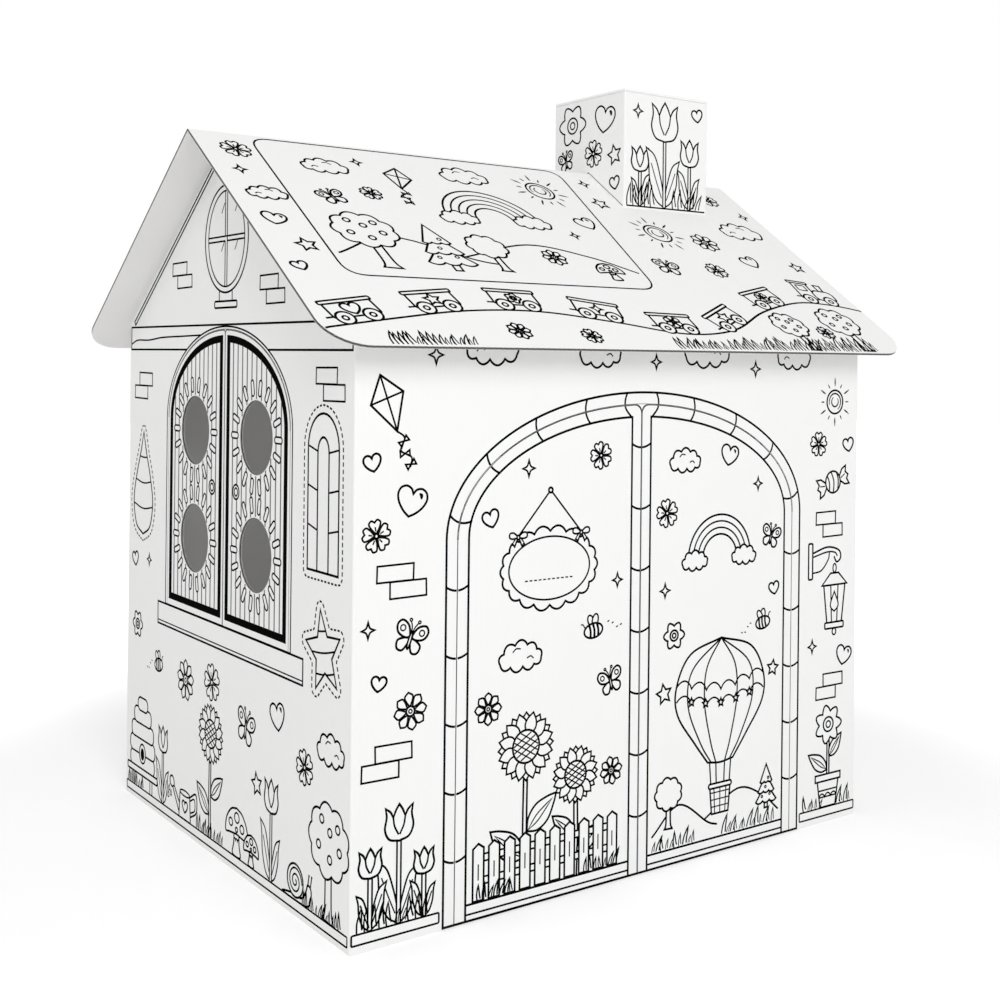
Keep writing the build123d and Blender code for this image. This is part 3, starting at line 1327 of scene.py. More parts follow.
@dataclass(frozen=True)
class Panel:
    """A flat outer face of a CAD node, with millimetres across and up it from the anchor."""

    node: str
    across: Sequence[float]
    up: Sequence[float] = (0, 0, 1)
    anchor: Sequence[float] = (0, 0, 0)

    def matrix(self) -> Matrix:
        """Takes millimetres on the panel, and metres off it, to the object's frame.

        Returns:
            The matrix.
        """
        across, up, anchor = Vector(self.across), Vector(self.up), Vector(self.anchor)
        normal = across.cross(up)
        origin = anchor + normal * (outer_offset(self.node, normal) - anchor.dot(normal))
        columns = (across * MM, up * MM, normal, origin)
        return Matrix([[column[row] for column in columns] for row in range(3)] + [[0, 0, 0, 1]])


@dataclass(frozen=True)
class InkLayer:
    """Printed ink as thin closed ribbons that lie on the board, in metres off it."""

    rise: float = 0.00012
    sink: float = 0.00005
    tolerance: float = 0.05
    taper_step: float = 2.5

    def edges(self, stroke: Stroke) -> np.ndarray:
        """The two edges of a line, mitred at its corners and narrowed at its ends.

        Args:
            stroke: the line.

        Returns:
            The points of its left edge, then those of its right edge.
        """
        path = stroke.points
        tapered = stroke.taper and not stroke.closed
        if stroke.closed:
            path = thinned(np.vstack([path, path[:1]]), self.tolerance)[:-1]
        else:
            path = thinned(path, self.tolerance)
        if tapered:
            path = evenly(path, self.taper_step)
        steps = np.roll(path, -1, axis=0) - path if stroke.closed else np.diff(path, axis=0)
        length = np.maximum(np.hypot(steps[:, 0], steps[:, 1]), 1e-9)
        side = np.stack([-steps[:, 1], steps[:, 0]], axis=1) / length[:, None]
        before = np.roll(side, 1, axis=0) if stroke.closed else np.vstack([side[:1], side])
        after = side if stroke.closed else np.vstack([side, side[-1:]])
        mitre = before + after
        mitre /= np.maximum(np.hypot(mitre[:, 0], mitre[:, 1]), 1e-6)[:, None]
        half = stroke.width / 2 / np.clip((mitre * after).sum(axis=1), 0.5, 1)
        if tapered:
            reach = np.concatenate([[0], np.cumsum(length)])
            half *= 1 - stroke.taper * (2 * np.abs(reach / reach[-1] - 0.5)) ** 2
        shift = mitre * half[:, None]
        return np.vstack([path + shift, path - shift])

    def ribbon(self, stroke: Stroke) -> tuple[np.ndarray, list[tuple[int, ...]]]:
        """The upper points of a line, and its faces, in which the lower points follow the upper ones.

        Args:
            stroke: the line.

        Returns:
            The points and the faces.
        """
        points = self.edges(stroke)
        n = len(points) // 2
        a, b, c, d = 0, n, 2 * n, 3 * n
        faces: list[tuple[int, ...]] = []
        for i in range(n if stroke.closed else n - 1):
            j = (i + 1) % n
            faces += [(b + i, b + j, a + j, a + i), (c + i, c + j, d + j, d + i)]
            faces += [(d + i, d + j, b + j, b + i), (c + j, c + i, a + i, a + j)]
        if not stroke.closed:
            e = n - 1
            faces += [(c, d, b, a), (d + e, c + e, a + e, b + e)]
        return points, faces

    @staticmethod
    def patch(stroke: Stroke) -> tuple[np.ndarray, list[tuple[int, ...]]]:
        """The upper points of a patch of ink, and its faces, as for a line.

        Args:
            stroke: the patch.

        Returns:
            The points and the faces.
        """
        rim = stroke.points
        ahead = np.roll(rim, -1, axis=0)
        if (rim[:, 0] * ahead[:, 1] - ahead[:, 0] * rim[:, 1]).sum() < 0:
            rim = rim[::-1]
        n = len(rim)
        walls = [(n + i, n + (i + 1) % n, (i + 1) % n, i) for i in range(n)]
        return rim, [tuple(range(n)), tuple(range(2 * n - 1, n - 1, -1)), *walls]

    def mesh(self, strokes: Sequence[Stroke]) -> bpy.types.Mesh:
        """Builds one mesh of closed ribbons and patches, in millimetres across and metres up.

        Args:
            strokes: what is printed.

        Returns:
            The mesh.
        """
        verts: list[list[float]] = []
        faces: list[tuple[int, ...]] = []
        for stroke in strokes:
            points, own = self.patch(stroke) if stroke.filled else self.ribbon(stroke)
            faces += [tuple(len(verts) + index for index in face) for face in own]
            for height in (self.rise, -self.sink):
                verts += np.column_stack([points, np.full(len(points), height)]).tolist()
        return new_mesh("print", verts, faces)


def new_mesh(name: str, verts: Sequence[Sequence[float]], faces: Sequence[tuple[int, ...]]) -> bpy.types.Mesh:
    """Makes a mesh of points and faces.

    Args:
        name: its name.
        verts: the points.
        faces: the faces, as numbers of points.

    Returns:
        The mesh.
    """
    mesh = bpy.data.meshes.new(name)
    mesh.from_pydata(verts, [], faces)
    mesh.update()
    return mesh


def merged(meshes: Sequence[bpy.types.Mesh]) -> bpy.types.Mesh:
    """Joins meshes that lie in the same frame.

    Args:
        meshes: the meshes.

    Returns:
        One new mesh.
    """
    verts: list[tuple[float, ...]] = []
    faces: list[tuple[int, ...]] = []
    for mesh in meshes:
        faces += [tuple(len(verts) + index for index in face.vertices) for face in mesh.polygons]
        verts += [tuple(vertex.co) for vertex in mesh.vertices]
    return new_mesh("print", verts, faces)


def shown(name: str, mesh: bpy.types.Mesh, material: bpy.types.Material) -> None:
    """Makes a piece of the house, which rides on it, from a mesh that is already in place.

    Args:
        name: the piece's name.
        mesh: its mesh, in the object's frame.
        material: its finish.
    """
    mesh.name = name
    mesh.materials.clear()
    mesh.materials.append(material)
    mesh.polygons.foreach_set("material_index", [0] * len(mesh.polygons))
    piece = bpy.data.objects.new(name, mesh)
    bpy.context.scene.collection.objects.link(piece)
    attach(piece, BODY)
    log.info("%s: %d faces", name, len(mesh.polygons))


class NodeTree:
    """Adds nodes to a tree, and takes sockets or plain values for their inputs."""

    def __init__(self, tree: bpy.types.NodeTree) -> None:
        """Starts on a shader tree or a Geometry Nodes group."""
        self.tree = tree

    def feed(self, entry: Socket, value: object) -> None:
        """Sets a node's input.

        Args:
            entry: the input.
            value: a plain value, or the socket that a link comes from.
        """
        if isinstance(value, Socket):
            self.tree.links.new(value, entry)
        else:
            entry.default_value = value

    def node(self, kind: str, values: Optional[dict] = None, **settings: object) -> bpy.types.Node:
        """Adds a node.

        Args:
            kind: Blender's name for the node type.
            values: what goes into its inputs, by name or place: a socket or a value.
            settings: its own settings.

        Returns:
            The node.
        """
        node = self.tree.nodes.new(kind)
        for key, value in settings.items():
            setattr(node, key, value)
        for key, value in (values or {}).items():
            self.feed(node.inputs[key], value)
        return node

    def get(self, kind: str, values: Optional[dict] = None, output: object = 0, **settings: object) -> Socket:
        """Adds a node and gives one of its outputs."""
        return self.node(kind, values, **settings).outputs[output]

    def math(self, operation: str, *values: object) -> Socket:
        """Adds a sum on numbers and gives its result."""
        return self.get("ShaderNodeMath", dict(enumerate(values)), operation=operation)

    def vector(self, x: object = 0.0, y: object = 0.0, z: object = 0.0) -> Socket:
        """Joins three numbers to a vector."""
        return self.get("ShaderNodeCombineXYZ", {0: x, 1: y, 2: z})

    def parts(self, vector: Socket) -> Sequence[Socket]:
        """A vector's three numbers."""
        return self.node("ShaderNodeSeparateXYZ", {0: vector}).outputs


class RepeatGroup(NodeTree):
    """A Geometry Nodes group that repeats the mesh it is given, with named inputs for its sizes."""

    title = ""

    def __init__(self, ink: bpy.types.Material) -> None:
        """Builds the group, which ends in Realize Instances and Set Material.

        Args:
            ink: what the copies are made of.
        """
        super().__init__(bpy.data.node_groups.new(self.title, "GeometryNodeTree"))
        self.tree.interface.new_socket("Motif", in_out="INPUT", socket_type="NodeSocketGeometry")
        self.tree.interface.new_socket("Print", in_out="OUTPUT", socket_type="NodeSocketGeometry")
        self.entry = self.tree.nodes.new("NodeGroupInput")
        self.names: dict[str, str] = {}
        solid = self.get("GeometryNodeRealizeInstances", {0: self.layout()})
        inked = self.get("GeometryNodeSetMaterial", {"Geometry": solid, "Material": ink})
        self.tree.links.new(inked, self.tree.nodes.new("NodeGroupOutput").inputs[0])

    def layout(self) -> Socket:
        """Lays the copies out."""
        raise NotImplementedError

    def size(self, name: str, whole: bool = False) -> Socket:
        """Adds a named input.

        Args:
            name: its name.
            whole: whether it takes whole numbers.

        Returns:
            Its socket.
        """
        kind = "NodeSocketInt" if whole else "NodeSocketFloat"
        item = self.tree.interface.new_socket(name, in_out="INPUT", socket_type=kind)
        self.names[name] = item.identifier
        return next(socket for socket in self.entry.outputs if socket.identifier == item.identifier)

    def on_points(self, points: Socket, turn: object = 0.0, scale: object = 1.0, of: object = None) -> Socket:
        """Sets a copy on each point.

        Args:
            points: the points.
            turn: its turn about the panel's normal.
            scale: its scale along the panel.
            of: what is copied; the motif where it is left out.

        Returns:
            The copies.
        """
        values = {"Points": points, "Instance": of or self.entry.outputs[0]}
        values |= {"Rotation": self.vector(0.0, 0.0, turn), "Scale": self.vector(scale, scale, 1.0)}
        return self.get("GeometryNodeInstanceOnPoints", values)

    def line(self, count: object, step: object = (0, 0, 0)) -> Socket:
        """A row of points."""
        return self.get("GeometryNodeMeshLine", {"Count": count, "Offset": step})

    def chance(self, low: object, high: object, seed: Socket) -> Socket:
        """A random number for each point.

        Args:
            low: the least that it is.
            high: the most.
            seed: what fixes the draw.

        Returns:
            The number.
        """
        node = self.node("FunctionNodeRandomValue", data_type="FLOAT")
        names = {socket.name: socket for socket in node.inputs if socket.enabled}
        index = self.get("GeometryNodeInputIndex")
        for name, value in (("Min", low), ("Max", high), ("ID", index), ("Seed", seed)):
            self.feed(names[name], value)
        return next(socket for socket in node.outputs if socket.enabled)

    def made(
        self, motif: bpy.types.Mesh, panel: Panel, at: Point, values: dict[str, float]
    ) -> bpy.types.Mesh:
        """Runs the group on a mesh and lays the result on a panel.

        Args:
            motif: the mesh to repeat, in millimetres.
            panel: where it goes.
            at: its zero on the panel.
            values: the group's inputs, by name.

        Returns:
            A plain mesh in the object's frame.
        """
        holder = bpy.data.objects.new("holder", motif)
        bpy.context.scene.collection.objects.link(holder)
        modifier = holder.modifiers.new("repeat", "NODES")
        modifier.node_group = self.tree
        for key, value in values.items():
            modifier[self.names[key]] = value
        mesh = bpy.data.meshes.new_from_object(holder.evaluated_get(bpy.context.evaluated_depsgraph_get()))
        holder.modifiers.remove(modifier)
        bpy.data.objects.remove(holder)
        mesh.transform(panel.matrix() @ Matrix.Translation((*at, 0)))
        return mesh


class Row(RepeatGroup):
    """Repeats a motif along a straight line: the posts' bands and the fence's pickets."""

    title = "row_of_motifs"

    def layout(self) -> Socket:
        """Lays the copies out in a row.

        Returns:
            The copies.
        """
        count = self.size("Count", whole=True)
        step = self.vector(self.size("Step across"), self.size("Step up"))
        return self.on_points(self.line(count, step))


class Arch(RepeatGroup):
    """Repeats a motif at even lengths along half an elliptical arch, square to it, from its springing up."""

    title = "arch_of_motifs"
    steps = 120

    def layout(self) -> Socket:
        """Lays the copies out along the arch.

        Returns:
            The copies.
        """
        count, side = self.size("Count", whole=True), self.size("Side")
        first, step = self.size("First length"), self.size("Step length")
        wide, rise = self.size("Half width"), self.size("Rise")
        index = self.get("GeometryNodeInputIndex")
        angle = self.math("MULTIPLY", index, math.pi / 2 / self.steps)
        reach = self.math("MULTIPLY", self.math("COSINE", angle), self.math("MULTIPLY", side, wide))
        place = self.vector(reach, self.math("MULTIPLY", self.math("SINE", angle), rise))
        bow = self.get("GeometryNodeSetPosition", {"Geometry": self.line(self.steps + 1), "Position": place})
        curve = self.get("GeometryNodeMeshToCurve", {"Mesh": bow})
        sample = self.node("GeometryNodeSampleCurve", {"Curves": curve}, mode="LENGTH")
        self.tree.links.new(self.math("MULTIPLY_ADD", index, step, first), sample.inputs["Length"])
        spots = {"Geometry": self.line(count), "Position": sample.outputs["Position"]}
        along = self.parts(sample.outputs["Tangent"])
        lean = self.math("SUBTRACT", self.math("ARCTAN2", along[1], along[0]), math.pi / 2)
        return self.on_points(self.get("GeometryNodeSetPosition", spots), lean)


class Rays(RepeatGroup):
    """Sets a motif round each of a grid of holes, pointing away from it."""

    title = "rays_round_holes"

    def layout(self) -> Socket:
        """Lays the copies out round the four holes.

        Returns:
            The copies.
        """
        count, radius = self.size("Rays", whole=True), self.size("Radius")
        across, up = self.size("Pitch across"), self.size("Pitch up")
        circle = self.get("GeometryNodeMeshCircle", {"Vertices": count, "Radius": radius})
        place = self.parts(self.get("GeometryNodeInputPosition"))
        ring = self.on_points(circle, self.math("ARCTAN2", place[1], place[0]))
        sizes = {"Size X": across, "Size Y": up, "Vertices X": 2, "Vertices Y": 2}
        return self.on_points(self.get("GeometryNodeMeshGrid", sizes), of=ring)


class Grass(RepeatGroup):
    """Grows a row of blades of random heights and leans."""

    title = "row_of_grass"

    def layout(self) -> Socket:
        """Lays the blades out in a row.

        Returns:
            The copies.
        """
        blades, step = self.size("Blades", whole=True), self.size("Step")
        shortest, lean = self.size("Shortest"), self.size("Lean")
        seed = self.size("Seed", whole=True)
        share = self.chance(shortest, 1.0, seed)
        turn = self.chance(self.math("MULTIPLY", lean, -1.0), lean, self.math("ADD", seed, 7.0))
        return self.on_points(self.line(blades, self.vector(step)), turn, share)


# Finishes


def new_material(name: str) -> tuple[bpy.types.Material, NodeTree, bpy.types.Node]:
    """Makes a new material.

    Args:
        name: its name.

    Returns:
        The material, its tree and its Principled shader.
    """
    material = bpy.data.materials.new(name)
    material.use_nodes = True
    return material, NodeTree(material.node_tree), material.node_tree.nodes["Principled BSDF"]


@dataclass(frozen=True)
class PrintInk:
    """Matte black or grey printing ink with a little uneven cover."""

    name: str
    tone: float
    uneven: float = 0.3
    grain: float = 900.0
    roughness: float = 0.55

    def material(self) -> bpy.types.Material:
        """Builds the ink's material.

        Returns:
            The material.
        """
        material, nodes, skin = new_material(self.name)
        place = nodes.get("ShaderNodeTexCoord", output="Object")
        cover = nodes.get("ShaderNodeTexNoise", {"Vector": place, "Scale": self.grain, "Detail": 2.0})
        share = nodes.math("MULTIPLY_ADD", cover, self.uneven, 1 - self.uneven / 2)
        red, green, blue = (nodes.math("MULTIPLY", share, self.tone * tint) for tint in (1.0, 0.96, 0.97))
        colour = nodes.get("ShaderNodeCombineColor", {0: red, 1: green, 2: blue})
        nodes.feed(skin.inputs["Base Color"], colour)
        skin.inputs["Roughness"].default_value = self.roughness
        skin.inputs["Specular IOR Level"].default_value = 0.0
        return material


class Sheet(Enum):
    """The three folded sheets, by the CAD node that each is."""

    WALLS = "walls"
    ROOF = "roof"
    CHIMNEY = "chimney"


@dataclass(frozen=True)
class CorrugatedBoard:
    """White-lined corrugated board: fibrous liners, a faint washboarding relief whose shade is also painted
    faintly into the colour, and open flutes on its cut edges, whose hollows are painted dark as shade.

    Its thicknesses, pitches and margins are in millimetres, the lid's and the bump's heights in metres,
    and its tones are linear.
    """

    sheet: Sheet
    thickness: float = 3.0
    flute_pitch: float = 6.4
    liner: float = 0.42
    crease_depth: float = 0.8
    medium: float = 0.3
    face: tuple[float, float, float] = (0.9, 0.9, 0.895)
    inside: tuple[float, float, float] = (0.86, 0.855, 0.845)
    core: tuple[float, float, float] = (0.22, 0.21, 0.2)
    # painted shade: the dark inside the flutes' hollows, as seen on a cut edge
    gap: tuple[float, float, float] = (0.06, 0.055, 0.05)
    pressed: tuple[float, float, float] = (0.012, 0.011, 0.011)
    cut_liner: float = 0.55
    mottle: float = 0.02
    fibre_grain: float = 850.0
    cloud_grain: float = 14.0
    # painted shade: how much the flutes' wavy relief darkens and lightens the colour in stripes
    painted_washboard_shade: float = 0.003
    edge_margin: float = 0.12
    crease_margin: float = 0.06
    fold_slant: float = 0.02
    lid_height: float = 0.01
    wave_relief: float = 0.4
    fibre_relief: float = 0.6
    bump_strength: float = 0.12
    bump_height: float = 0.0001
    roughness: float = 0.62
    uneven_roughness: float = 0.12
    specular: float = 0.25

    def _depth(self, nodes: NodeTree, place: Socket) -> tuple[Socket, Socket]:
        """How deep in the board a point lies, and how far it is along the flutes' row.

        Args:
            nodes: the material's tree.
            place: the point, in metres.

        Returns:
            The depth below the outer face and the distance along the row, both in millimetres.
        """
        m = nodes.math
        spot = nodes.get("ShaderNodeVectorMath", {0: place, "Scale": 1 / MM}, operation="SCALE")
        x, y, z = nodes.parts(spot)
        if self.sheet is Sheet.ROOF:
            normal = slope_normal(-1)
            height = m("MULTIPLY_ADD", z, normal.z, m("MULTIPLY", m("ABSOLUTE", y), -normal.y))
            return m("SUBTRACT", outer_offset("roof", normal) / MM, height), x
        low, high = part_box(self.sheet.value)
        centre, half = (low + high) / 2 / MM, (high - low) / 2 / MM
        x = m("SUBTRACT", x, centre.x)
        to_end = m("SUBTRACT", half.x, m("ABSOLUTE", x))
        to_side = m("SUBTRACT", half.y, m("ABSOLUTE", y))
        on_end = m("LESS_THAN", to_end, to_side)
        along = m("MULTIPLY_ADD", x, m("SUBTRACT", 1.0, on_end), m("MULTIPLY", y, on_end))
        return m("MINIMUM", to_end, to_side), along

    def _blend(self, nodes: NodeTree, share: Socket, first: object, second: object) -> Socket:
        """Mixes two colours.

        Args:
            nodes: the material's tree.
            share: how much of the second colour there is.
            first: a colour or its socket.
            second: another.

        Returns:
            The mixed colour.
        """
        mix = nodes.node("ShaderNodeMix", {"Factor": share}, data_type="RGBA")
        for key, value in ((6, first), (7, second)):
            nodes.feed(mix.inputs[key], value if isinstance(value, Socket) else (*value, 1.0))
        return mix.outputs[2]

    def _cut_edge(self, nodes: NodeTree, place: Socket, depth: Socket) -> Socket:
        """Finds the cuts through the board.

        Args:
            nodes: the material's tree.
            place: the point, in metres.
            depth: how deep in the board it lies.

        Returns:
            1 where a cut shows, and 0 on the board's faces and its rounded folds.
        """
        m = nodes.math
        x, y, z = nodes.parts(nodes.get("ShaderNodeNewGeometry", output="True Normal"))
        margin = self.edge_margin
        signs = [m("GREATER_THAN", depth, margin), m("LESS_THAN", depth, self.thickness - margin)]
        if self.sheet is not Sheet.ROOF:
            signs.append(m("LESS_THAN", m("ABSOLUTE", m("MULTIPLY", x, y)), self.fold_slant))
        if self.sheet is not Sheet.WALLS:
            signs.append(m("LESS_THAN", z, 0.9))
        if self.sheet is Sheet.CHIMNEY:
            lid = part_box(self.sheet.value)[1].z - self.lid_height
            signs.append(m("LESS_THAN", nodes.parts(place)[2], lid))
        return reduce(lambda all_so_far, sign: m("MULTIPLY", all_so_far, sign), signs)

    def _pressed_line(self, nodes: NodeTree, depth: Socket) -> Socket:
        """Finds the floors of the pressed creases, where the fold lines are printed.

        Args:
            nodes: the material's tree.
            depth: how deep in the board the point lies.

        Returns:
            1 on such a floor, and 0 elsewhere.
        """
        m = nodes.math
        x, y, _ = nodes.parts(nodes.get("ShaderNodeNewGeometry", output="True Normal"))
        flat = m("GREATER_THAN", m("MAXIMUM", m("ABSOLUTE", x), m("ABSOLUTE", y)), 0.99)
        off = m("ABSOLUTE", m("SUBTRACT", depth, self.crease_depth))
        return m("MULTIPLY", flat, m("LESS_THAN", off, self.crease_margin))

    def material(self) -> bpy.types.Material:
        """Builds the sheet's material.

        Returns:
            The material.
        """
        material, nodes, skin = new_material(f"board_{self.sheet.value}")
        m = nodes.math
        place = nodes.get("ShaderNodeTexCoord", output="Object")
        depth, along = self._depth(nodes, place)
        wave = m("SINE", m("MULTIPLY", along, 2 * math.pi / self.flute_pitch))

        middle = self.thickness / 2
        crest = m("MULTIPLY_ADD", wave, middle - self.liner - self.medium / 2, middle)
        off_medium = m("ABSOLUTE", m("SUBTRACT", depth, crest))
        # painted shade on cut edges: between the medium's wave, the flutes' hollows take the dark gap colour
        core = self._blend(nodes, m("LESS_THAN", off_medium, 1.2 * self.medium), self.gap, self.core)
        on_liner = m("GREATER_THAN", m("ABSOLUTE", m("SUBTRACT", depth, middle)), middle - self.liner)
        core = self._blend(nodes, on_liner, core, [self.cut_liner * tone for tone in self.face])

        fibres = {"Vector": place, "Scale": self.fibre_grain, "Detail": 4.0, "Roughness": 0.7}
        fibre = nodes.get("ShaderNodeTexNoise", fibres)
        cloud = nodes.get("ShaderNodeTexNoise", {"Vector": place, "Scale": self.cloud_grain, "Detail": 3.0})
        speck = m("MULTIPLY", m("ADD", fibre, cloud), 0.5)
        shade = m("MULTIPLY_ADD", speck, -self.mottle, 1 + self.mottle / 2)
        # painted shade: faint lighter and darker stripes along the flutes, standing for the light and shade
        # of their relief
        shade = m("MULTIPLY_ADD", wave, self.painted_washboard_shade, shade)
        liner = self._blend(nodes, m("GREATER_THAN", depth, self.thickness - 0.1), self.face, self.inside)
        tint = nodes.get("ShaderNodeVectorMath", {0: liner, "Scale": shade}, operation="SCALE")
        colour = self._blend(nodes, self._cut_edge(nodes, place, depth), tint, core)
        if self.sheet is Sheet.WALLS:
            colour = self._blend(nodes, self._pressed_line(nodes, depth), colour, self.pressed)
        nodes.feed(skin.inputs["Base Color"], colour)

        relief = m("MULTIPLY_ADD", wave, self.wave_relief, m("MULTIPLY", fibre, self.fibre_relief))
        heights = {"Height": relief, "Strength": self.bump_strength, "Distance": self.bump_height}
        bump = nodes.get("ShaderNodeBump", heights)
        nodes.feed(skin.inputs["Normal"], bump)
        smoothest = self.roughness - self.uneven_roughness / 2
        nodes.feed(skin.inputs["Roughness"], m("MULTIPLY_ADD", fibre, self.uneven_roughness, smoothest))
        skin.inputs["Specular IOR Level"].default_value = self.specular
        return material

    def dress(self) -> None:
        """Gives the folded sheet its material."""
        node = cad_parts[self.sheet.value]
        material = self.material()
        if not node.material_slots:
            node.data.materials.append(material)
        for slot in node.material_slots:
            slot.link = "OBJECT"
            slot.material = material
        log.info("%s: %s", self.sheet.value, material.name)


# Printed sub-assemblies


@dataclass(frozen=True)
class GrassRow:
    """A row of grass: curved blades side by side, from its left end."""

    x: float
    y: float
    length: float
    height: float = 20.0
    spacing: float = 6.6
    shortest: float = 0.45
    lean: float = 0.3

    def blade(self) -> Drawing:
        """Draws one blade up from the ground, bent to the right.

        Returns:
            The blade.
        """
        side = [(-0.13, 0), (-0.1, 0.4), (0.02, 0.75), (0.14, 1)]
        back = [(0.14, 1), (0.13, 0.7), (0.11, 0.35), (0.13, 0.05)]
        return Drawing(self.height).line(joined(side, back), Pen.FINE)


class Printer:
    """Prints on panels: it holds the ink layer, the inks and the groups that repeat a motif."""

    def __init__(self) -> None:
        """Mixes the inks and builds the groups."""
        self.layer = InkLayer()
        black = PrintInk("ink_black", 0.004).material()
        self.inks = {Ink.BLACK: black, Ink.GREY: PrintInk("ink_grey", 0.16).material()}
        self.rows, self.arches, self.rays, self.grass = (kind(black) for kind in (Row, Arch, Rays, Grass))

    def print_on(self, name: str, panel: Panel, art: Drawing) -> None:
        """Prints a drawing on a panel, one piece for each ink.

        Args:
            name: what the pieces' names start with.
            panel: where it goes.
            art: what is drawn.
        """
        for ink, material in self.inks.items():
            strokes = [stroke for stroke in art.strokes if stroke.ink is ink]
            if strokes:
                mesh = self.layer.mesh(strokes)
                mesh.transform(panel.matrix())
                shown(f"{name}_{ink.value}", mesh, material)

    def motif(self, art: Drawing) -> bpy.types.Mesh:
        """Turns a drawing to a mesh that a group can repeat.

        Args:
            art: the drawing.

        Returns:
            The mesh, in millimetres.
        """
        mesh = self.layer.mesh(art.strokes)
        mesh.materials.append(self.inks[Ink.BLACK])
        return mesh

    def show(self, name: str, *meshes: bpy.types.Mesh) -> None:
        """Shows what the groups made as one black piece."""
        shown(name, merged(meshes), self.inks[Ink.BLACK])

    def sow(self, name: str, panel: Panel, *rows: GrassRow) -> None:
        """Grows rows of grass on a panel.

        Args:
            name: the piece's name.
            panel: where they go.
            rows: the rows.
        """
        meshes = []
        for number, row in enumerate(rows):
            values = {"Blades": round(row.length / row.spacing), "Step": row.spacing}
            values |= {"Shortest": row.shortest, "Lean": row.lean, "Seed": SEED_STEP * number + FIRST_SEED}
            meshes.append(self.grass.made(self.motif(row.blade()), panel, (row.x, row.y), values))
        self.show(name, *meshes)


@dataclass(frozen=True)
class CutTraces:
    """What the die leaves of the printed line of an arched cut and of the cut between its two leaves."""

    half: float
    foot: float
    springing: float
    rise: float
    radius: float
    off: float = 0.72

    def add_to(self, art: Drawing) -> Drawing:
        """Draws the traces on both sides of the cuts, with each leaf's free corner rounded.

        Args:
            art: what they are added to.

        Returns:
            The drawing.
        """
        off = self.off
        art.line(oval((0, self.springing), (self.half + off, self.rise + off), 0, 180, 90), Pen.TRACE)
        near = off + self.radius
        turn = math.degrees(math.acos(near / (self.half - off)))
        arch = oval((0, self.springing), (self.half - off, self.rise - off), 0, turn, 50)
        bend = oval((near, arch[-1][1] - self.radius), self.radius, 90, 180, 12)
        path = np.vstack([arch, bend, [(off, self.foot)]])
        for side in (-1, 1):
            art.line(path * (side, 1), Pen.TRACE)
        return art


@dataclass(frozen=True)
class DoorFrame:
    """The printed arch round the double door, drawn as a banded tube with a mullion and a keystone."""

    half_width: float = 235.0
    springing: float = 374.5
    rise: float = 128.0
    tube: float = 26.0
    mullion: float = 26.6
    foot: float = 1.6
    sill: float = 17.3
    band_first: float = 66.4
    band_pitch: float = 65.75
    band_sag: float = 4.2
    bands_on_post: int = 5
    bands_on_mullion: int = 7
    bands_on_arch: int = 4
    cut: float = 1.0
    leaf_corner: float = 9.0
    keystone: tuple[Point, ...] = ((20.5, 515.6), (23.6, 507.0), (22.4, 498.0), (13.3, 488.0))

    def arch(self, grow: float, start: float = 0.0, stop: float = 180.0) -> np.ndarray:
        """A piece of the arch, moved outwards by a length."""
        return oval((0, self.springing), (self.half_width + grow, self.rise + grow), start, stop, 72)

    def outline(self) -> np.ndarray:
        """The closed outline of the whole frame."""
        x = self.half_width + self.tube / 2
        return np.vstack([self.arch(self.tube / 2), [(-x, self.foot), (x, self.foot)]])

    def leaf(self, side: int) -> np.ndarray:
        """Outlines the space that the frame leaves on one leaf.

        Args:
            side: -1 for the left leaf, 1 for the right one.

        Returns:
            The closed outline.
        """
        inner = self.arch(-self.tube / 2)
        kept = inner[inner[:, 0] * side > self.mullion / 2 + 0.5]
        x, y = self.half_width - self.tube / 2, self.mullion / 2
        head = self.springing + (self.rise - self.tube / 2) * math.sqrt(1 - (y / x) ** 2)
        if side > 0:
            return np.vstack([[(y, self.foot), (x, self.foot)], kept, [(y, head)]])
        return np.vstack([kept, [(-x, self.foot), (-y, self.foot), (-y, head)]])

    def band(self, half: float) -> Drawing:
        """Draws one band across the tube, open at the cut line in its middle.

        Args:
            half: half the tube's width.

        Returns:
            The band.
        """
        art = Drawing()
        for side in (-1, 1):
            reach = side * np.linspace(self.cut, half, 6)
            art.line(np.column_stack([reach, -self.band_sag * (1 - (reach / half) ** 2)]))
        return art

    def draw(self) -> Drawing:
        """Draws the frame's outlines, its keystone and the two sills.

        Returns:
            The drawing.
        """
        art = Drawing().shape(self.outline(), Pen.KEY)
        for side in (-1, 1):
            art.line(self.leaf(side), Pen.KEY, closed=True)
            ends = sorted((side * self.mullion / 2, side * (self.half_width - self.tube / 2)))
            for height, pen in ((self.sill, Pen.LINE), (0.45 * self.sill, Pen.FINE)):
                art.line([(end, height) for end in ends], pen)
            art.curve(np.array(self.keystone) * (side, 1))
        art.hide(np.vstack([self.arch(self.cut, 75, 105), self.arch(-self.cut, 105, 75)]))
        traces = CutTraces(self.half_width, self.foot, self.springing, self.rise, self.leaf_corner)
        return traces.add_to(art)

    def show_bands(self, printer: Printer, panel: Panel) -> None:
        """Repeats the bands up the posts and the mullion and round the arch.

        Args:
            printer: the printer.
            panel: the front wall.
        """
        post, middle = (printer.motif(self.band(width / 2)) for width in (self.tube, self.mullion))
        posts = [(x, post, self.bands_on_post) for x in (-self.half_width, self.half_width)]
        meshes = []
        for x, motif, count in (posts[0], (0.0, middle, self.bands_on_mullion), posts[1]):
            values = {"Count": count, "Step across": 0.0, "Step up": self.band_pitch}
            meshes.append(printer.rows.made(motif, panel, (x, self.band_first), values))
        first = self.band_first + self.bands_on_post * self.band_pitch - self.springing
        values = {"Count": self.bands_on_arch, "First length": first, "Step length": self.band_pitch}
        values |= {"Half width": self.half_width, "Rise": self.rise}
        for side in (-1.0, 1.0):
            values["Side"] = side
            meshes.append(printer.arches.made(post, panel, (0.0, self.springing), values))
        printer.show("ink_door_bands", *meshes)


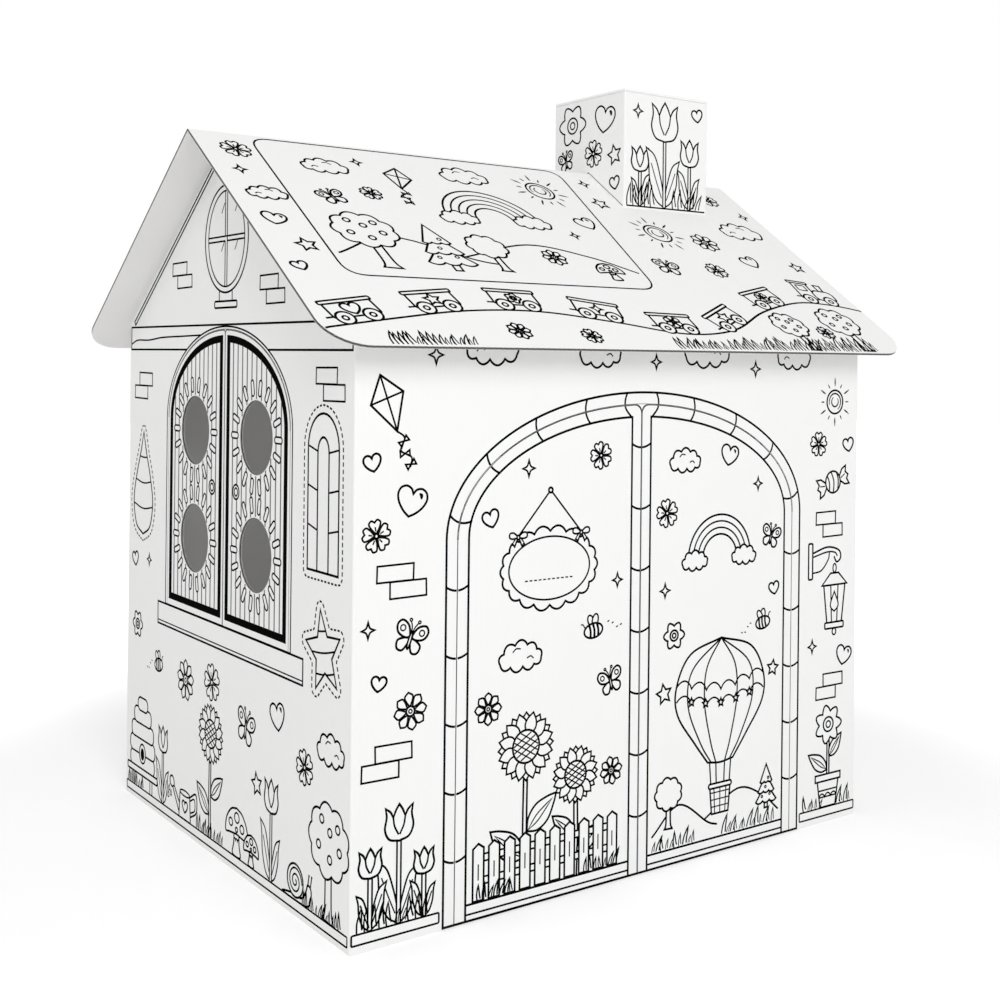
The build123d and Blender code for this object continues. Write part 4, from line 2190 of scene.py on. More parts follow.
@dataclass(frozen=True)
class Fence:
    """A row of pointed pickets on two rails."""

    left: float
    foot: float
    count: int
    pitch: float = 19.0
    width: float = 13.0
    height: float = 56.0
    rails: tuple[float, float] = (0.28, 0.68)
    rail_width: float = 7.0

    def picket(self) -> np.ndarray:
        """The outline of one picket, up from its foot."""
        w, h = self.width / 2, self.height
        return np.array([(-w, 0), (w, 0), (w, h - 0.7 * w), (0, h), (-w, h - 0.7 * w)])

    def draw_rails(self, art: Drawing) -> None:
        """Hides what stands behind the fence, and draws its rails between the pickets.

        Args:
            art: the drawing that it stands in.
        """
        right = self.left + self.pitch * (self.count - 1)
        for share in self.rails:
            low = self.foot + share * self.height
            art.hide(box((self.left, low), (right, low + self.rail_width)))
            for edge in (low, low + self.rail_width):
                art.line([(self.left, edge), (right, edge)], Pen.FINE)
        for index in range(self.count):
            art.hide(self.picket() + (self.left + index * self.pitch, self.foot))

    def show_pickets(self, printer: Printer, name: str, panel: Panel) -> None:
        """Repeats the picket along the fence.

        Args:
            printer: the printer.
            name: the piece's name.
            panel: where the fence stands.
        """
        art = Drawing().shape(self.picket())
        art.line([(0, 0.36 * self.height), (0, 0.64 * self.height)], Pen.HAIR)
        values = {"Count": self.count, "Step across": self.pitch, "Step up": 0.0}
        printer.show(name, printer.rows.made(printer.motif(art), panel, (self.left, self.foot), values))


@dataclass(frozen=True)
class FrontPrint:
    """The print on the front wall: door frame, base strips, and garden motifs round and on the door."""

    door: DoorFrame = DoorFrame()
    fence: Fence = Fence(-207.0, 18.6, 10)

    def outside(self) -> Drawing:
        """Draws the motifs round the door.

        Returns:
            The drawing.
        """
        return Drawing().scatter(
            Put(Cloud(66), -196, 561, flip=True), Put(Cloud(58), -58, 557), Put(Cloud(72), 96, 561),
            Put(Cloud(58), 236, 556, flip=True), Put(Sparkle(17), -262, 553), Put(Sparkle(15), 20, 548),
            Put(Sparkle(16), 172, 541), Put(Kite(44), -316, 512, 20), Put(Heart(17, False), -331, 452, 12),
            Put(Heart(30), -288, 414, -14), Put(Blossom(15), -326, 384, 10), Put(BrickPair(), -298, 340),
            Put(Sparkle(15), -334, 297), Put(Butterfly(36), -288, 285, -20),
            Put(Heart(15, False), -322, 246, -10), Put(Daisy(17), -287, 216, 8),
            Put(BrickPair(flip=True), -312, 172), Put(Tulip(112, 30), -298, 18.4),
            Put(Tulip(76, 24), -329, 18.4, flip=True), Put(Tulip(66, 22), -270, 18.4),
            Put(Sun(14, 12), 308, 502), Put(Heart(17, False), 333, 450, 10), Put(Blossom(14), 280, 452),
            Put(Sweet(54), 306, 406, 18), Put(BrickPair(34, 15), 300, 356), Put(Lantern(118), 268, 306),
            Put(Sparkle(15), 272, 212), Put(Heart(24), 328, 196, -14),
            Put(BrickPair(34, 15, True), 303, 162), Put(PottedRose(122, 44, 24), 302, 18.0),
        )

    def left_leaf(self) -> Drawing:
        """Draws the motifs on the left leaf.

        Returns:
            The drawing.
        """
        return Drawing().scatter(
            Put(Sparkle(16), -150, 440), Put(Blossom(14), -56, 450, 18), Put(NamePlaque(126, 80), -122, 338),
            Put(Heart(18, False), -196, 392, 16), Put(Bee(26), -64, 268, 8), Put(Cloud(56), -158, 252),
            Put(Sparkle(14), -32, 318), Put(Butterfly(32), -40, 212, 14), Put(Sunflower(176, 33), -150, 18),
            Put(Sunflower(132, 28), -86, 18, flip=True), Put(Daisy(15), -197, 205),
            Put(Daisy(14), -38, 118, 10),
        )

    def right_leaf(self) -> Drawing:
        """Draws the motifs on the right leaf.

        Returns:
            The drawing.
        """
        return Drawing().scatter(
            Put(Cloud(48), 64, 440), Put(Heart(24), 132, 444, -12), Put(Sparkle(14), 178, 410),
            Put(Blossom(15), 38, 384, 12), Put(Rainbow(112, 4), 118, 330), Put(Butterfly(30), 200, 348, -16),
            Put(Sparkle(15), 36, 300), Put(Heart(15, False), 206, 288, 10), Put(Rosette(16, 6), 50, 250),
            Put(Bee(24), 188, 250, 10, flip=True), Put(Star(11), 36, 188, 10), Put(Star(9), 205, 196, -8),
            Put(Hills(196, 44), 20, 22), Put(RoundTree(58, False), 44, 40), Put(FirTree(50), 196, 36),
            Put(AirBalloon(196), 122, 44),
        )

    def build(self, printer: Printer) -> None:
        """Prints the front wall.

        Args:
            printer: the printer.
        """
        panel = Panel("walls", (1, 0, 0))
        left_leaf = self.left_leaf()
        self.fence.draw_rails(left_leaf)
        art = self.outside().place(self.door.draw())
        art.inlay(left_leaf, self.door.leaf(-1)).inlay(self.right_leaf(), self.door.leaf(1))
        for left, right, low in ((-348.4, -252.5, 8.0), (252.8, 348.4, 7.6)):
            art.shape(round_box((left, low), (right, low + 9.8), 1.5), Pen.FINE)
        printer.print_on("ink_front", panel, art)
        self.door.show_bands(printer, panel)
        self.fence.show_pickets(printer, "ink_door_pickets", panel)
        rows = [
            GrassRow(-340, 18.8, 78, 24, 8.0), GrassRow(-206, 18.8, 44, 17), GrassRow(-72, 18.8, 46, 17),
            GrassRow(22, 18.8, 68, 20), GrassRow(128, 18.8, 84, 23), GrassRow(262, 18.4, 30, 18),
            GrassRow(320, 18.4, 24, 22),
        ]
        printer.sow("ink_front_grass", panel, *rows)


@dataclass(frozen=True)
class GableTrim:
    """The printed timber of a gable: beam, rake boards, bricks, base strip and attic window."""

    half_width: float = 283.0
    beam_low: float = 556.5
    beam_high: float = 584.0
    grain: tuple[Point, ...] = ((-283, 563), (-262, 568), (-225, 568), (-180, 571), (-120, 572), (-60, 573))
    rake_foot: Point = (273.0, 591.0)
    rake_head: Point = (34.0, 763.0)
    rake_width: float = 5.2
    base: tuple[float, float] = (6.0, 15.5)
    attic_middle: Point = (0.0, 678.0)

    def draw(self) -> Drawing:
        """Draws the gable's trim.

        Returns:
            The drawing.
        """
        w = self.half_width
        art = Drawing().line(box((-w, self.beam_low), (w, self.beam_high)), closed=True)
        art.curve(self.grain, Pen.FINE)
        foot, head = np.array(self.rake_foot), np.array(self.rake_head)
        lean = (head - foot) / np.hypot(*(head - foot))
        inwards = np.array([lean[1], -lean[0]]) * -self.rake_width
        for side in (-1, 1):
            art.line(np.array([foot, head, head + inwards, foot + inwards]) * (side, 1), closed=True)
        art.shape(round_box((-w, self.base[0]), (w, self.base[1]), 1.5), Pen.FINE)
        return art.place(AtticWindow(112, 118).draw(), self.attic_middle)


@dataclass(frozen=True)
class Shutters:
    """The printed window: arch line, black borders, boards, knobs, sill and rays round the peepholes."""

    springing: float = 476.0
    foot: float = 255.0
    arch_half: float = 163.0
    arch_rise: float = 106.0
    cut_half: float = 158.0
    cut_rise: float = 102.5
    leaf_corner: float = 4.0
    border_half: float = 148.8
    border_rise: float = 92.6
    border_foot: float = 266.6
    border_from_middle: float = 9.4
    border_inner: float = 3.8
    boards: int = 11
    board_first: float = 22.0
    board_pitch: float = 11.6
    hole_centre: Point = (0.0, 403.4)
    hole_pitch: Point = (159.2, 122.8)
    hole_radius: float = 39.2
    ray_count: int = 18
    ray_from: float = 4.5
    ray_length: float = 17.0
    ray_width: float = 6.6
    knob: Point = (31.5, 404.0)
    sill: tuple[Point, Point] = ((-186.0, 228.5), (190.0, 254.4))

    def outline(self) -> np.ndarray:
        """The closed outline of the whole window."""
        arch = oval((0, self.springing), (self.arch_half, self.arch_rise), 0, 180, 60)
        return np.vstack([arch, [(-self.arch_half, self.foot), (self.arch_half, self.foot)]])

    def border(self, side: int, inset: float = 0.0) -> np.ndarray:
        """Finds the middle line of one leaf's black border.

        Args:
            side: -1 for the left leaf, 1 for the right one.
            inset: how far the line is moved inwards.

        Returns:
            The closed line.
        """
        near, far = self.border_from_middle + inset, self.border_half - inset
        angle = math.degrees(math.acos(near / far))
        arch = oval((0, self.springing), (far, self.border_rise - inset), 0, angle, 26)
        leaf = np.vstack([arch, [(near, self.border_foot + inset), (far, self.border_foot + inset)]])
        return leaf if side > 0 else leaf[::-1] * (-1, 1)

    def holes(self) -> list[Point]:
        """The middles of the four peepholes."""
        (x, y), (across, up) = self.hole_centre, self.hole_pitch
        return [(x + side * across / 2, y + row * up / 2) for side in (-1, 1) for row in (-1, 1)]

    def ray(self) -> np.ndarray:
        """The outline of one ray, pointing across from its middle."""
        half, thick = self.ray_length / 2, self.ray_width / 2
        return round_box((-half, -thick), (half, thick), thick * 0.98)

    def ray_reach(self) -> float:
        """How far a ray's middle lies from its peephole's middle."""
        return self.hole_radius + self.ray_from + self.ray_length / 2

    def leaf_boards(self, side: int) -> Drawing:
        """Draws the grey boards of one leaf, round its peepholes, their rays and its knob.

        Args:
            side: -1 for the left leaf, 1 for the right one.

        Returns:
            The boards.
        """
        boards = Drawing()
        for index in range(self.boards):
            x = side * (self.board_first + index * self.board_pitch)
            boards.line([(x, self.foot), (x, self.springing + self.arch_rise)], ink=Ink.GREY)
        boards.keep(self.border(side, self.border_inner))
        reach = self.ray_reach()
        for x, y in self.holes():
            boards.hide(oval((x, y), self.hole_radius + 1.0, steps=60))
            for number in range(self.ray_count):
                turn = 360 * number / self.ray_count
                angle = math.radians(turn)
                at = (x + reach * math.cos(angle), y + reach * math.sin(angle))
                boards.hide(moved(self.ray(), at, turn))
        return boards.hide(oval((side * self.knob[0], self.knob[1]), 8.6, steps=30))

    def draw(self) -> Drawing:
        """Draws the window but for its rays.

        Returns:
            The drawing.
        """
        art = Drawing().shape(self.outline(), Pen.FINE)
        CutTraces(self.cut_half, self.foot, self.springing, self.cut_rise, self.leaf_corner).add_to(art)
        for side in (-1, 1):
            knob = (side * self.knob[0], self.knob[1])
            art.strokes += self.leaf_boards(side).strokes
            art.line(self.border(side), Pen.BORDER, closed=True)
            art.hoop(knob, 7.8, Pen.LINE, 30).hoop(knob, 4.2, steps=20)
        (left, low), (right, high) = self.sill
        art.shape(box((left, low), (right, high)))
        return art.line([(left, low + 4.2), (right, low + 4.2)], Pen.HAIR)

    def show_rays(self, printer: Printer, panel: Panel) -> None:
        """Sets the rays round the four peepholes.

        Args:
            printer: the printer.
            panel: the left gable.
        """
        motif = printer.motif(Drawing().shape(self.ray(), Pen.FINE))
        values = {"Rays": self.ray_count, "Radius": self.ray_reach()}
        values |= {"Pitch across": self.hole_pitch[0], "Pitch up": self.hole_pitch[1]}
        printer.show("ink_peephole_rays", printer.rays.made(motif, panel, self.hole_centre, values))


@dataclass(frozen=True)
class WindowGablePrint:
    """The print on the left gable: trim, shutters, hollow figures and a garden."""

    trim: GableTrim = GableTrim()
    window: Shutters = Shutters()

    def draw(self) -> Drawing:
        """Draws the trim, the motifs round the window, and the window.

        Returns:
            The drawing.
        """
        art = Drawing().place(self.trim.draw()).scatter(
            Put(BrickPair(42, 15), -122, 643), Put(BrickPair(42, 15), 114, 619),
            Put(BrickPair(42, 16, True), -240, 512), Put(BrickPair(42, 16), 240, 524),
            Put(HollowFigure(Figure.DROP, 62, 126), -238, 392),
            Put(HollowFigure(Figure.ARCH, 62, 152), 228, 420),
            Put(HollowFigure(Figure.STAR, 72, 82), 232, 268, 10), Put(Heart(18, False), -262, 296, 10),
            Put(Sparkle(14), -216, 300), Put(Rosette(17, 6), -252, 216),
            Put(Bee(26), -182, 178, 10, flip=True), Put(Daisy(22, 9), -100, 176),
            Put(Blossom(20), -26, 188, 14), Put(Butterfly(42), 62, 158, -12), Put(Heart(29), 136, 186, 12),
            Put(Blossom(17), 196, 150, 20), Put(Cloud(56), 248, 178), Put(Star(12), 90, 106, 12),
            Put(Beehive(116), -232, 15.6), Put(Tulip(92, 27), -166, 15.6), Put(WateringCan(70), -100, 15.6),
            Put(Sunflower(146, 31), -28, 15.6), Put(Toadstool(56), 42, 15.6), Put(Toadstool(36), 78, 15.6),
            Put(Tulip(104, 30), 124, 15.6), Put(Snail(58), 180, 15.6), Put(RoundTree(116), 246, 15.6),
        )
        return art.place(self.window.draw())

    def build(self, printer: Printer) -> None:
        """Prints the left gable.

        Args:
            printer: the printer.
        """
        panel = Panel("walls", (0, -1, 0))
        printer.print_on("ink_left_gable", panel, self.draw())
        self.window.show_rays(printer, panel)
        rows = [GrassRow(-276, 16, 56, 16), GrassRow(-62, 16, 70, 18), GrassRow(196, 16, 80, 17)]
        printer.sow("ink_left_grass", panel, *rows)


@dataclass(frozen=True)
class PlainGablePrint:
    """The print on the right gable, which has no window: trim and a garden with trees."""

    trim: GableTrim = GableTrim()
    fence: Fence = Fence(-128.0, 15.8, 14, 19.6, 13.0, 60.0)

    def draw(self) -> Drawing:
        """Draws the trim, the motifs and the fence's rails.

        Returns:
            The drawing.
        """
        art = Drawing().place(self.trim.draw()).scatter(
            Put(BrickPair(42, 15), -146, 630), Put(BrickPair(42, 15, True), 140, 634),
            Put(Cloud(84), -196, 500), Put(Cloud(70), 196, 512, flip=True), Put(Rainbow(200, 5), 0, 420),
            Put(Sun(24, 16), -226, 412), Put(Kite(58), 222, 424, -18), Put(BrickPair(42, 16), -240, 330),
            Put(BrickPair(42, 16, True), 244, 300), Put(Heart(32), -150, 320, 12),
            Put(Butterfly(44), 140, 330, -14), Put(Blossom(18), -60, 350), Put(Blossom(16), 66, 300, 16),
            Put(Sparkle(20), 0, 300), Put(Bee(32), -70, 250, 8), Put(Star(13), 178, 240, 10),
            Put(Daisy(20), 120, 214), Put(RoundTree(190), -206, 15.8), Put(FirTree(150), 218, 15.8),
            Put(Sunflower(160, 32), -96, 15.8), Put(Sunflower(190, 36), -20, 15.8, flip=True),
            Put(PottedRose(150, 50, 28), 66, 15.8),
        )
        self.fence.draw_rails(art)
        return art

    def build(self, printer: Printer) -> None:
        """Prints the right gable.

        Args:
            printer: the printer.
        """
        panel = Panel("walls", (0, 1, 0))
        printer.print_on("ink_right_gable", panel, self.draw())
        self.fence.show_pickets(printer, "ink_right_pickets", panel)
        rows = [GrassRow(-276, 16, 126, 20), GrassRow(-120, 16, 120, 18), GrassRow(150, 16, 122, 20)]
        printer.sow("ink_right_grass", panel, *rows)


@dataclass(frozen=True)
class BackPrint:
    """The print on the back wall, which has no door: a landscape."""

    base: tuple[Point, Point] = ((-346.0, 8.0), (346.0, 17.8))

    def draw(self) -> Drawing:
        """Draws the landscape and the base strip.

        Returns:
            The drawing.
        """
        art = Drawing().scatter(
            Put(Cloud(90), -240, 520), Put(Cloud(70), -60, 540, flip=True), Put(Cloud(96), 170, 512),
            Put(Sun(26, 16), 290, 470), Put(Sparkle(20), -150, 500), Put(Kite(56), -300, 430, 20),
            Put(BrickPair(), 300, 380), Put(BrickPair(flip=True), -306, 320), Put(BrickPair(), 40, 470),
            Put(Hills(680, 110), -340, 60), Put(AirBalloon(230), -120, 250), Put(Rainbow(190, 5), 150, 300),
            Put(Butterfly(42), 20, 360, 12), Put(Heart(34), -220, 350, -12),
            Put(Heart(20, False), 290, 290, 12), Put(Blossom(17), -10, 280), Put(Blossom(15), 250, 230, 12),
            Put(Bee(30), 60, 220, 8), Put(Star(12), -250, 250, 10), Put(RoundTree(170), -280, 18),
            Put(FirTree(150), -176, 18), Put(RoundTree(130, False), -90, 18), Put(Toadstool(52), -20, 18),
            Put(Snail(60), 50, 18), Put(Sunflower(170, 34), 128, 18), Put(Beehive(104), 206, 18),
            Put(FirTree(120), 282, 18),
        )
        return art.shape(round_box(*self.base, 1.5), Pen.FINE)

    def build(self, printer: Printer) -> None:
        """Prints the back wall.

        Args:
            printer: the printer.
        """
        panel = Panel("walls", (-1, 0, 0))
        printer.print_on("ink_back", panel, self.draw())
        rows = [GrassRow(-336, 18, 196, 20), GrassRow(-60, 18, 150, 18), GrassRow(230, 18, 106, 20)]
        printer.sow("ink_back_grass", panel, *rows)


@dataclass(frozen=True)
class RoofPrint:
    """The print on one slope: a framed picture, a toy train on its rail, and sky motifs."""

    side: int
    rail: tuple[Point, ...] = (
        (-400, -378), (-310, -358), (-220, -341), (-130, -338), (-40, -353), (50, -372),
        (130, -362), (210, -322), (290, -298), (350, -300), (400, -312),
    )
    picture: tuple[Point, ...] = ((-328, -284), (72, -284), (101, -7), (-328, -7))
    low: Point = (-395.4, -401.8)
    high: Point = (395.4, -2.5)
    corner: float = 41.2
    corner_middle: Point = (354.0, -360.9)
    edge_head: Point = (395.2, -3.0)
    wagon: float = 66.0
    wheel_reach: float = 20.0
    first_wagon: float = -346.0
    engine: float = 340.0
    chimney: tuple[float, float] = (157.0, 303.0)
    chimney_foot: float = -88.5
    weight: float = 1.15

    def wagons(self, rail: np.ndarray) -> list[Put]:
        """Sets the wagons and their engine along the rail.

        Args:
            rail: the rail's points.

        Returns:
            The wagons and their places.
        """
        figures = (Heart(19, False), Star(10), Rosette(10, 5), Sparkle(17), Daisy(11, 6), Star(10))
        drawings = [figure.draw() for figure in (*figures, Blossom(10))] + [None]
        train = []
        reach = self.wheel_reach
        for drawing, x in zip(drawings, np.linspace(self.first_wagon, self.engine, len(drawings))):
            y, ahead = (float(np.interp(spot, rail[:, 0], rail[:, 1])) for spot in (x, x + reach))
            turn = math.degrees(math.atan2(ahead - y, reach))
            train.append(Put(Wagon(self.wagon, drawing), float(x), y + 1, turn))
        return train

    def scene(self) -> Drawing:
        """Draws the motifs in the framed picture.

        Returns:
            The drawing.
        """
        return Drawing().scatter(
            Put(Cloud(60), -256, -58, flip=True), Put(Sparkle(15), -208, -40), Put(Kite(40), -166, -66, -16),
            Put(Cloud(70), -66, -48), Put(Sun(19, 14), 38, -66), Put(Butterfly(34), -276, -128, 16),
            Put(Blossom(13), -222, -112), Put(Rainbow(150, 5), -76, -150), Put(Heart(27), 62, -140, 14),
            Put(Sparkle(14), 24, -172), Put(Hills(388, 60), -320, -262), Put(RoundTree(112), -268, -268),
            Put(FirTree(92), -188, -266), Put(RoundTree(76, False), -124, -262),
            Put(Toadstool(38), 26, -268), Put(Daisy(15), -40, -226),
        )

    def sky(self) -> Drawing:
        """Draws the motifs round the picture.

        Returns:
            The drawing.
        """
        return Drawing().scatter(
            Put(Blossom(17), -354, -38), Put(Sparkle(16), -366, -84), Put(Cloud(48), -354, -132, flip=True),
            Put(Heart(24), -366, -184, -14), Put(Star(12), -350, -232, 10),
            Put(Heart(16, False), -374, -272, 12), Put(Sparkle(16), 128, -34), Put(Star(12), 122, -84, 12),
            Put(Sun(19, 14), 170, -150), Put(Butterfly(36), 126, -232, -14), Put(Daisy(19), 240, -164),
            Put(Heart(26), 286, -206, 14), Put(Cloud(74), 332, -128, flip=True), Put(Blossom(15), 340, -44),
            Put(Sparkle(16), 374, -84), Put(Blossom(15), 206, -232, 10), Put(Star(11), 366, -212),
        )

    def verge(self) -> list[Put]:
        """The motifs between the rail and the eave.

        Returns:
            The motifs and their places.
        """
        return [
            Put(Daisy(13), -176, -374, 8), Put(Blossom(12), -88, -380), Put(RoundTree(78), 232, -399),
            Put(RoundTree(92), 326, -399), Put(Blossom(12), 282, -362),
        ]

    def draw(self) -> Drawing:
        """Draws the whole slope's print.

        Returns:
            The drawing.
        """
        rail = smooth(self.rail)
        art = self.sky().shape(self.frame_line(), Pen.FINE).inlay(self.scene())
        art.scatter(*self.verge()).line(rail, Pen.KEY)
        for stroke in art.strokes:
            stroke.points = np.clip(stroke.points, self.low, self.high)
        art.scatter(*self.wagons(rail)).keep(self.edge())
        left, right = sorted(-self.side * x for x in self.chimney)
        art.hide(box((left, self.chimney_foot), (right, 20)))
        art.strokes = [replace(stroke, width=self.weight * stroke.width) for stroke in art.strokes]
        return art

    def build(self, printer: Printer) -> None:
        """Prints one slope.

        Args:
            printer: the printer.
        """
        normal = slope_normal(self.side)
        across = Vector((-self.side, 0, 0))
        ridge = (0, 0, outer_offset("roof", normal) / normal.z)
        panel = Panel("roof", across, normal.cross(across), ridge)
        name = "ink_roof_front" if self.side < 0 else "ink_roof_back"
        printer.print_on(name, panel, self.draw())
        blades = ((-330, 92, 22), (24, 104, 22), (128, 112, 27), (240, 104, 30))
        rows = [GrassRow(x, -400, length, height, 5.2) for x, length, height in blades]
        printer.sow(name + "_grass", panel, *rows)

    def frame_line(self, radius: float = 24.0) -> np.ndarray:
        """Outlines the picture, with each corner rounded.

        Args:
            radius: how far from its corner a bend begins.

        Returns:
            The closed outline.
        """
        corners = [np.array(corner, float) for corner in self.picture]
        share = np.linspace(0, 1, 7)[:, None]
        bends = []
        for before, corner, after in zip(corners[-1:] + corners[:-1], corners, corners[1:] + corners[:1]):
            start = corner + radius * (before - corner) / np.hypot(*(before - corner))
            end = corner + radius * (after - corner) / np.hypot(*(after - corner))
            bends.append((1 - share) ** 2 * start + 2 * share * (1 - share) * corner + share**2 * end)
        return np.vstack(bends)

    def edge(self) -> np.ndarray:
        """The slope's outline with its rounded eave corners, a little inside the board's edge.

        Returns:
            The closed outline.
        """
        (x, y), (half, head) = self.corner_middle, self.edge_head
        right, left = oval((x, y), self.corner, -90, 0, 14), oval((-x, y), self.corner, 180, 270, 14)
        return np.vstack([left, right, [(half, head), (-half, head)]])


@dataclass(frozen=True)
class ChimneyPrint:
    """The print on the chimney's four sides."""

    half: float = 72.0
    foot: float = 743.0
    # painted shade: how far above the roof, and how far out, the dark line along the flanks' foot runs
    foot_shade_above_roof: float = 0.9
    foot_shade_reach: float = 69.2

    def plain_side(self) -> Drawing:
        """Draws the front's and the back's print.

        Returns:
            The drawing.
        """
        art = Drawing().scatter(
            Put(Sparkle(16), -50, 868), Put(Heart(17, False), 53, 872, 10),
            Put(Tulip(76, 28), -46, self.foot + 4, flip=True), Put(Tulip(92, 31), 40, self.foot + 4),
            Put(Tulip(136, 44), -4, self.foot + 4),
        )
        return art.line([(side * (self.half - 4), self.foot + 3.2) for side in (-1, 1)], Pen.FINE)

    def notched_side(self) -> Drawing:
        """Draws the flanks' print, and a thin dark line of painted shade along their foot, just above the
        roof, standing for the contact shade where each flank meets it.

        Returns:
            The drawing.
        """
        art = Drawing().scatter(
            Put(Rosette(29, 6), -34, 860), Put(Heart(36), 32, 860, -10), Put(Star(13), 52, 812, 12),
            Put(Butterfly(30), -47, 813, 14), Put(Blossom(17), 10, 818, 8),
            Put(Heart(17, False), 53, 776, 10),
        )
        normal = slope_normal(-1)
        ridge = outer_offset("roof", normal) / normal.z / MM + self.foot_shade_above_roof
        foot = ridge - self.foot_shade_reach * abs(normal.y) / normal.z
        # painted shade: a thin black line just above the roof along each flank's foot, standing for the
        # contact shade there
        return art.line([(-self.foot_shade_reach, foot), (0.0, ridge), (self.foot_shade_reach, foot)], Pen.FOOT_SHADE)

    def build(self, printer: Printer) -> None:
        """Prints the chimney's four sides.

        Args:
            printer: the printer.
        """
        low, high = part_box("chimney")
        middle = ((low.x + high.x) / 2, 0, 0)
        sides = {"front": (1, 0, 0), "right": (0, 1, 0), "back": (-1, 0, 0), "left": (0, -1, 0)}
        ground = self.foot + 4
        for name, across in sides.items():
            panel = Panel("chimney", across, anchor=middle)
            if across[0]:
                rows = [GrassRow(-64, ground, 52, 30, 10.0), GrassRow(14, ground, 52, 26, 10.0)]
                printer.sow(f"ink_chimney_{name}_grass", panel, *rows)
            art = self.plain_side() if across[0] else self.notched_side()
            printer.print_on(f"ink_chimney_{name}", panel, art)


# Studio


@dataclass(frozen=True)
class Lamp:
    """A soft square lamp: where it hangs and what it points at, in metres, and its side and power."""

    name: str
    at: Sequence[float]
    aim: Sequence[float]
    size: float
    power: float

    def hang(self) -> None:
        """Hangs the lamp."""
        data = bpy.data.lights.new(self.name, "AREA")
        data.size, data.energy = self.size, self.power
        lamp = bpy.data.objects.new(self.name, data)
        lamp.location = self.at
        lamp.rotation_euler = (Vector(self.aim) - Vector(self.at)).to_track_quat("-Z", "Y").to_euler()
        lamp.visible_camera = False
        bpy.context.scene.collection.objects.link(lamp)


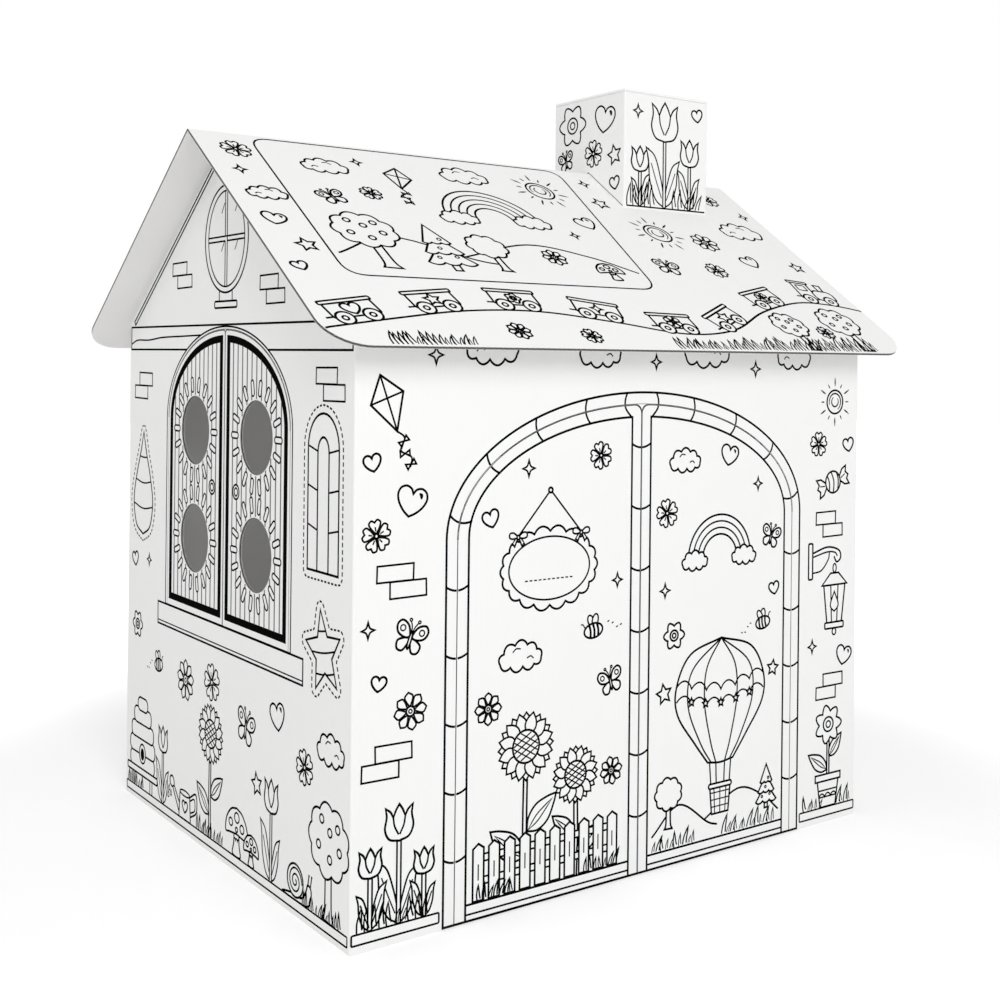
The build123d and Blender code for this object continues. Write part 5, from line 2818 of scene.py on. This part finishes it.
@dataclass(frozen=True)
class Studio:
    """A pale floor, soft light and the camera at the photograph's place."""

    camera_at: tuple[float, float, float] = (-0.9635, -1.3733, 0.5508)
    yaw: float = 35.575
    roll: float = 0.6
    lens: float = 48.63
    shift_up: float = -0.1422
    floor_half: float = 9.0
    floor_level: float = -0.0002
    floor_tone: float = 0.93
    floor_fade: tuple[float, float] = (0.6, 1.4)
    floor_glow: float = 0.2
    surround: float = 0.64
    lamps: tuple[Lamp, ...] = (
        Lamp("front_lamp", (-1.32, -3.32, 2.3), (0, 0, 0.45), 1.8, 53.0),
        Lamp("fill_lamp", (1.2, -3.6, 1.65), (0, 0, 0.45), 1.8, 6.0),
        Lamp("side_lamp", (-3.6, 1.2, 1.85), (0, 0, 0.45), 1.8, 13.0),
        Lamp("inside_lamp", (-0.2, -0.2, 0.4), (-0.25, 0.285, 0.38), 0.25, 0.2),
    )

    def camera(self) -> None:
        """Sets up the camera: level, with its frame shifted down to keep the verticals upright."""
        yaw, roll = math.radians(self.yaw), math.radians(self.roll)
        ahead = Vector((math.sin(yaw), math.cos(yaw), 0))
        right = Vector((math.cos(yaw), -math.sin(yaw), 0))
        across = right * math.cos(roll) + UP * math.sin(roll)
        upright = UP * math.cos(roll) - right * math.sin(roll)
        data = bpy.data.cameras.new("camera")
        data.lens, data.shift_y, data.sensor_width = self.lens, self.shift_up, 36.0
        data.clip_start, data.clip_end = 0.05, 60.0
        camera = bpy.data.objects.new("camera", data)
        turn = Matrix((across, upright, -ahead)).transposed().to_4x4()
        camera.matrix_world = Matrix.Translation(Vector(self.camera_at)) @ turn
        bpy.context.scene.collection.objects.link(camera)
        bpy.context.scene.camera = camera

    def floor(self) -> None:
        """Lays the floor: it keeps the house's shadow, and fades to the white background away from it."""
        h, z = self.floor_half, self.floor_level
        mesh = new_mesh("floor", [(-h, -h, z), (h, -h, z), (h, h, z), (-h, h, z)], [(0, 1, 2, 3)])
        floor = bpy.data.objects.new("floor", mesh)
        bpy.context.scene.collection.objects.link(floor)
        material = bpy.data.materials.new("pale_floor")
        material.use_nodes = True
        material.node_tree.nodes.clear()
        nodes = NodeTree(material.node_tree)
        paint = nodes.get("ShaderNodeBsdfDiffuse", {"Color": (*[self.floor_tone] * 3, 1.0)})
        place = nodes.get("ShaderNodeTexCoord", output="Object")
        away = nodes.get("ShaderNodeVectorMath", {0: place}, "Value", operation="LENGTH")
        ramp = {0: away, 1: self.floor_fade[0], 2: self.floor_fade[1], 3: self.floor_glow, 4: 1.0}
        fade = nodes.get("ShaderNodeMapRange", ramp, interpolation_type="SMOOTHSTEP")
        strength = nodes.math("MULTIPLY", fade, nodes.get("ShaderNodeLightPath", output="Is Camera Ray"))
        white = nodes.get("ShaderNodeEmission", {"Color": (1, 1, 1, 1), "Strength": strength})
        nodes.node("ShaderNodeOutputMaterial", {0: nodes.get("ShaderNodeAddShader", {0: paint, 1: white})})
        mesh.materials.append(material)

    def light(self) -> None:
        """Sets the white surround, the three soft lamps outside and the dim one inside the house."""
        world = bpy.data.worlds.new("white_surround")
        bpy.context.scene.world = world
        world.use_nodes = True
        world.node_tree.nodes.clear()
        nodes = NodeTree(world.node_tree)
        path = nodes.node("ShaderNodeLightPath").outputs
        shows = nodes.math("MAXIMUM", path["Is Glossy Ray"], path["Is Transmission Ray"])
        shows = nodes.math("MAXIMUM", path["Is Camera Ray"], shows)
        strength = nodes.get("ShaderNodeMapRange", {0: shows, 1: 0.0, 2: 1.0, 3: self.surround, 4: 1.0})
        background = nodes.get("ShaderNodeBackground", {"Color": (1, 1, 1, 1), "Strength": strength})
        nodes.node("ShaderNodeOutputWorld", {0: background})
        for lamp in self.lamps:
            lamp.hang()

    def build(self) -> None:
        """Sets up camera, floor and light."""
        self.camera()
        self.floor()
        self.light()


def main() -> None:
    """Builds the house's looks and the studio, in order."""
    logging.basicConfig(level=logging.INFO, format="%(message)s")
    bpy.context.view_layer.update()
    bpy.context.scene.view_settings.view_transform = "Standard"
    for sheet in Sheet:
        CorrugatedBoard(sheet).dress()
    printer = Printer()
    walls = (FrontPrint(), WindowGablePrint(), PlainGablePrint(), BackPrint())
    for part in (*walls, RoofPrint(-1), RoofPrint(1), ChimneyPrint()):
        part.build(printer)
    Studio().build()


if __name__ == "__main__":
    main()
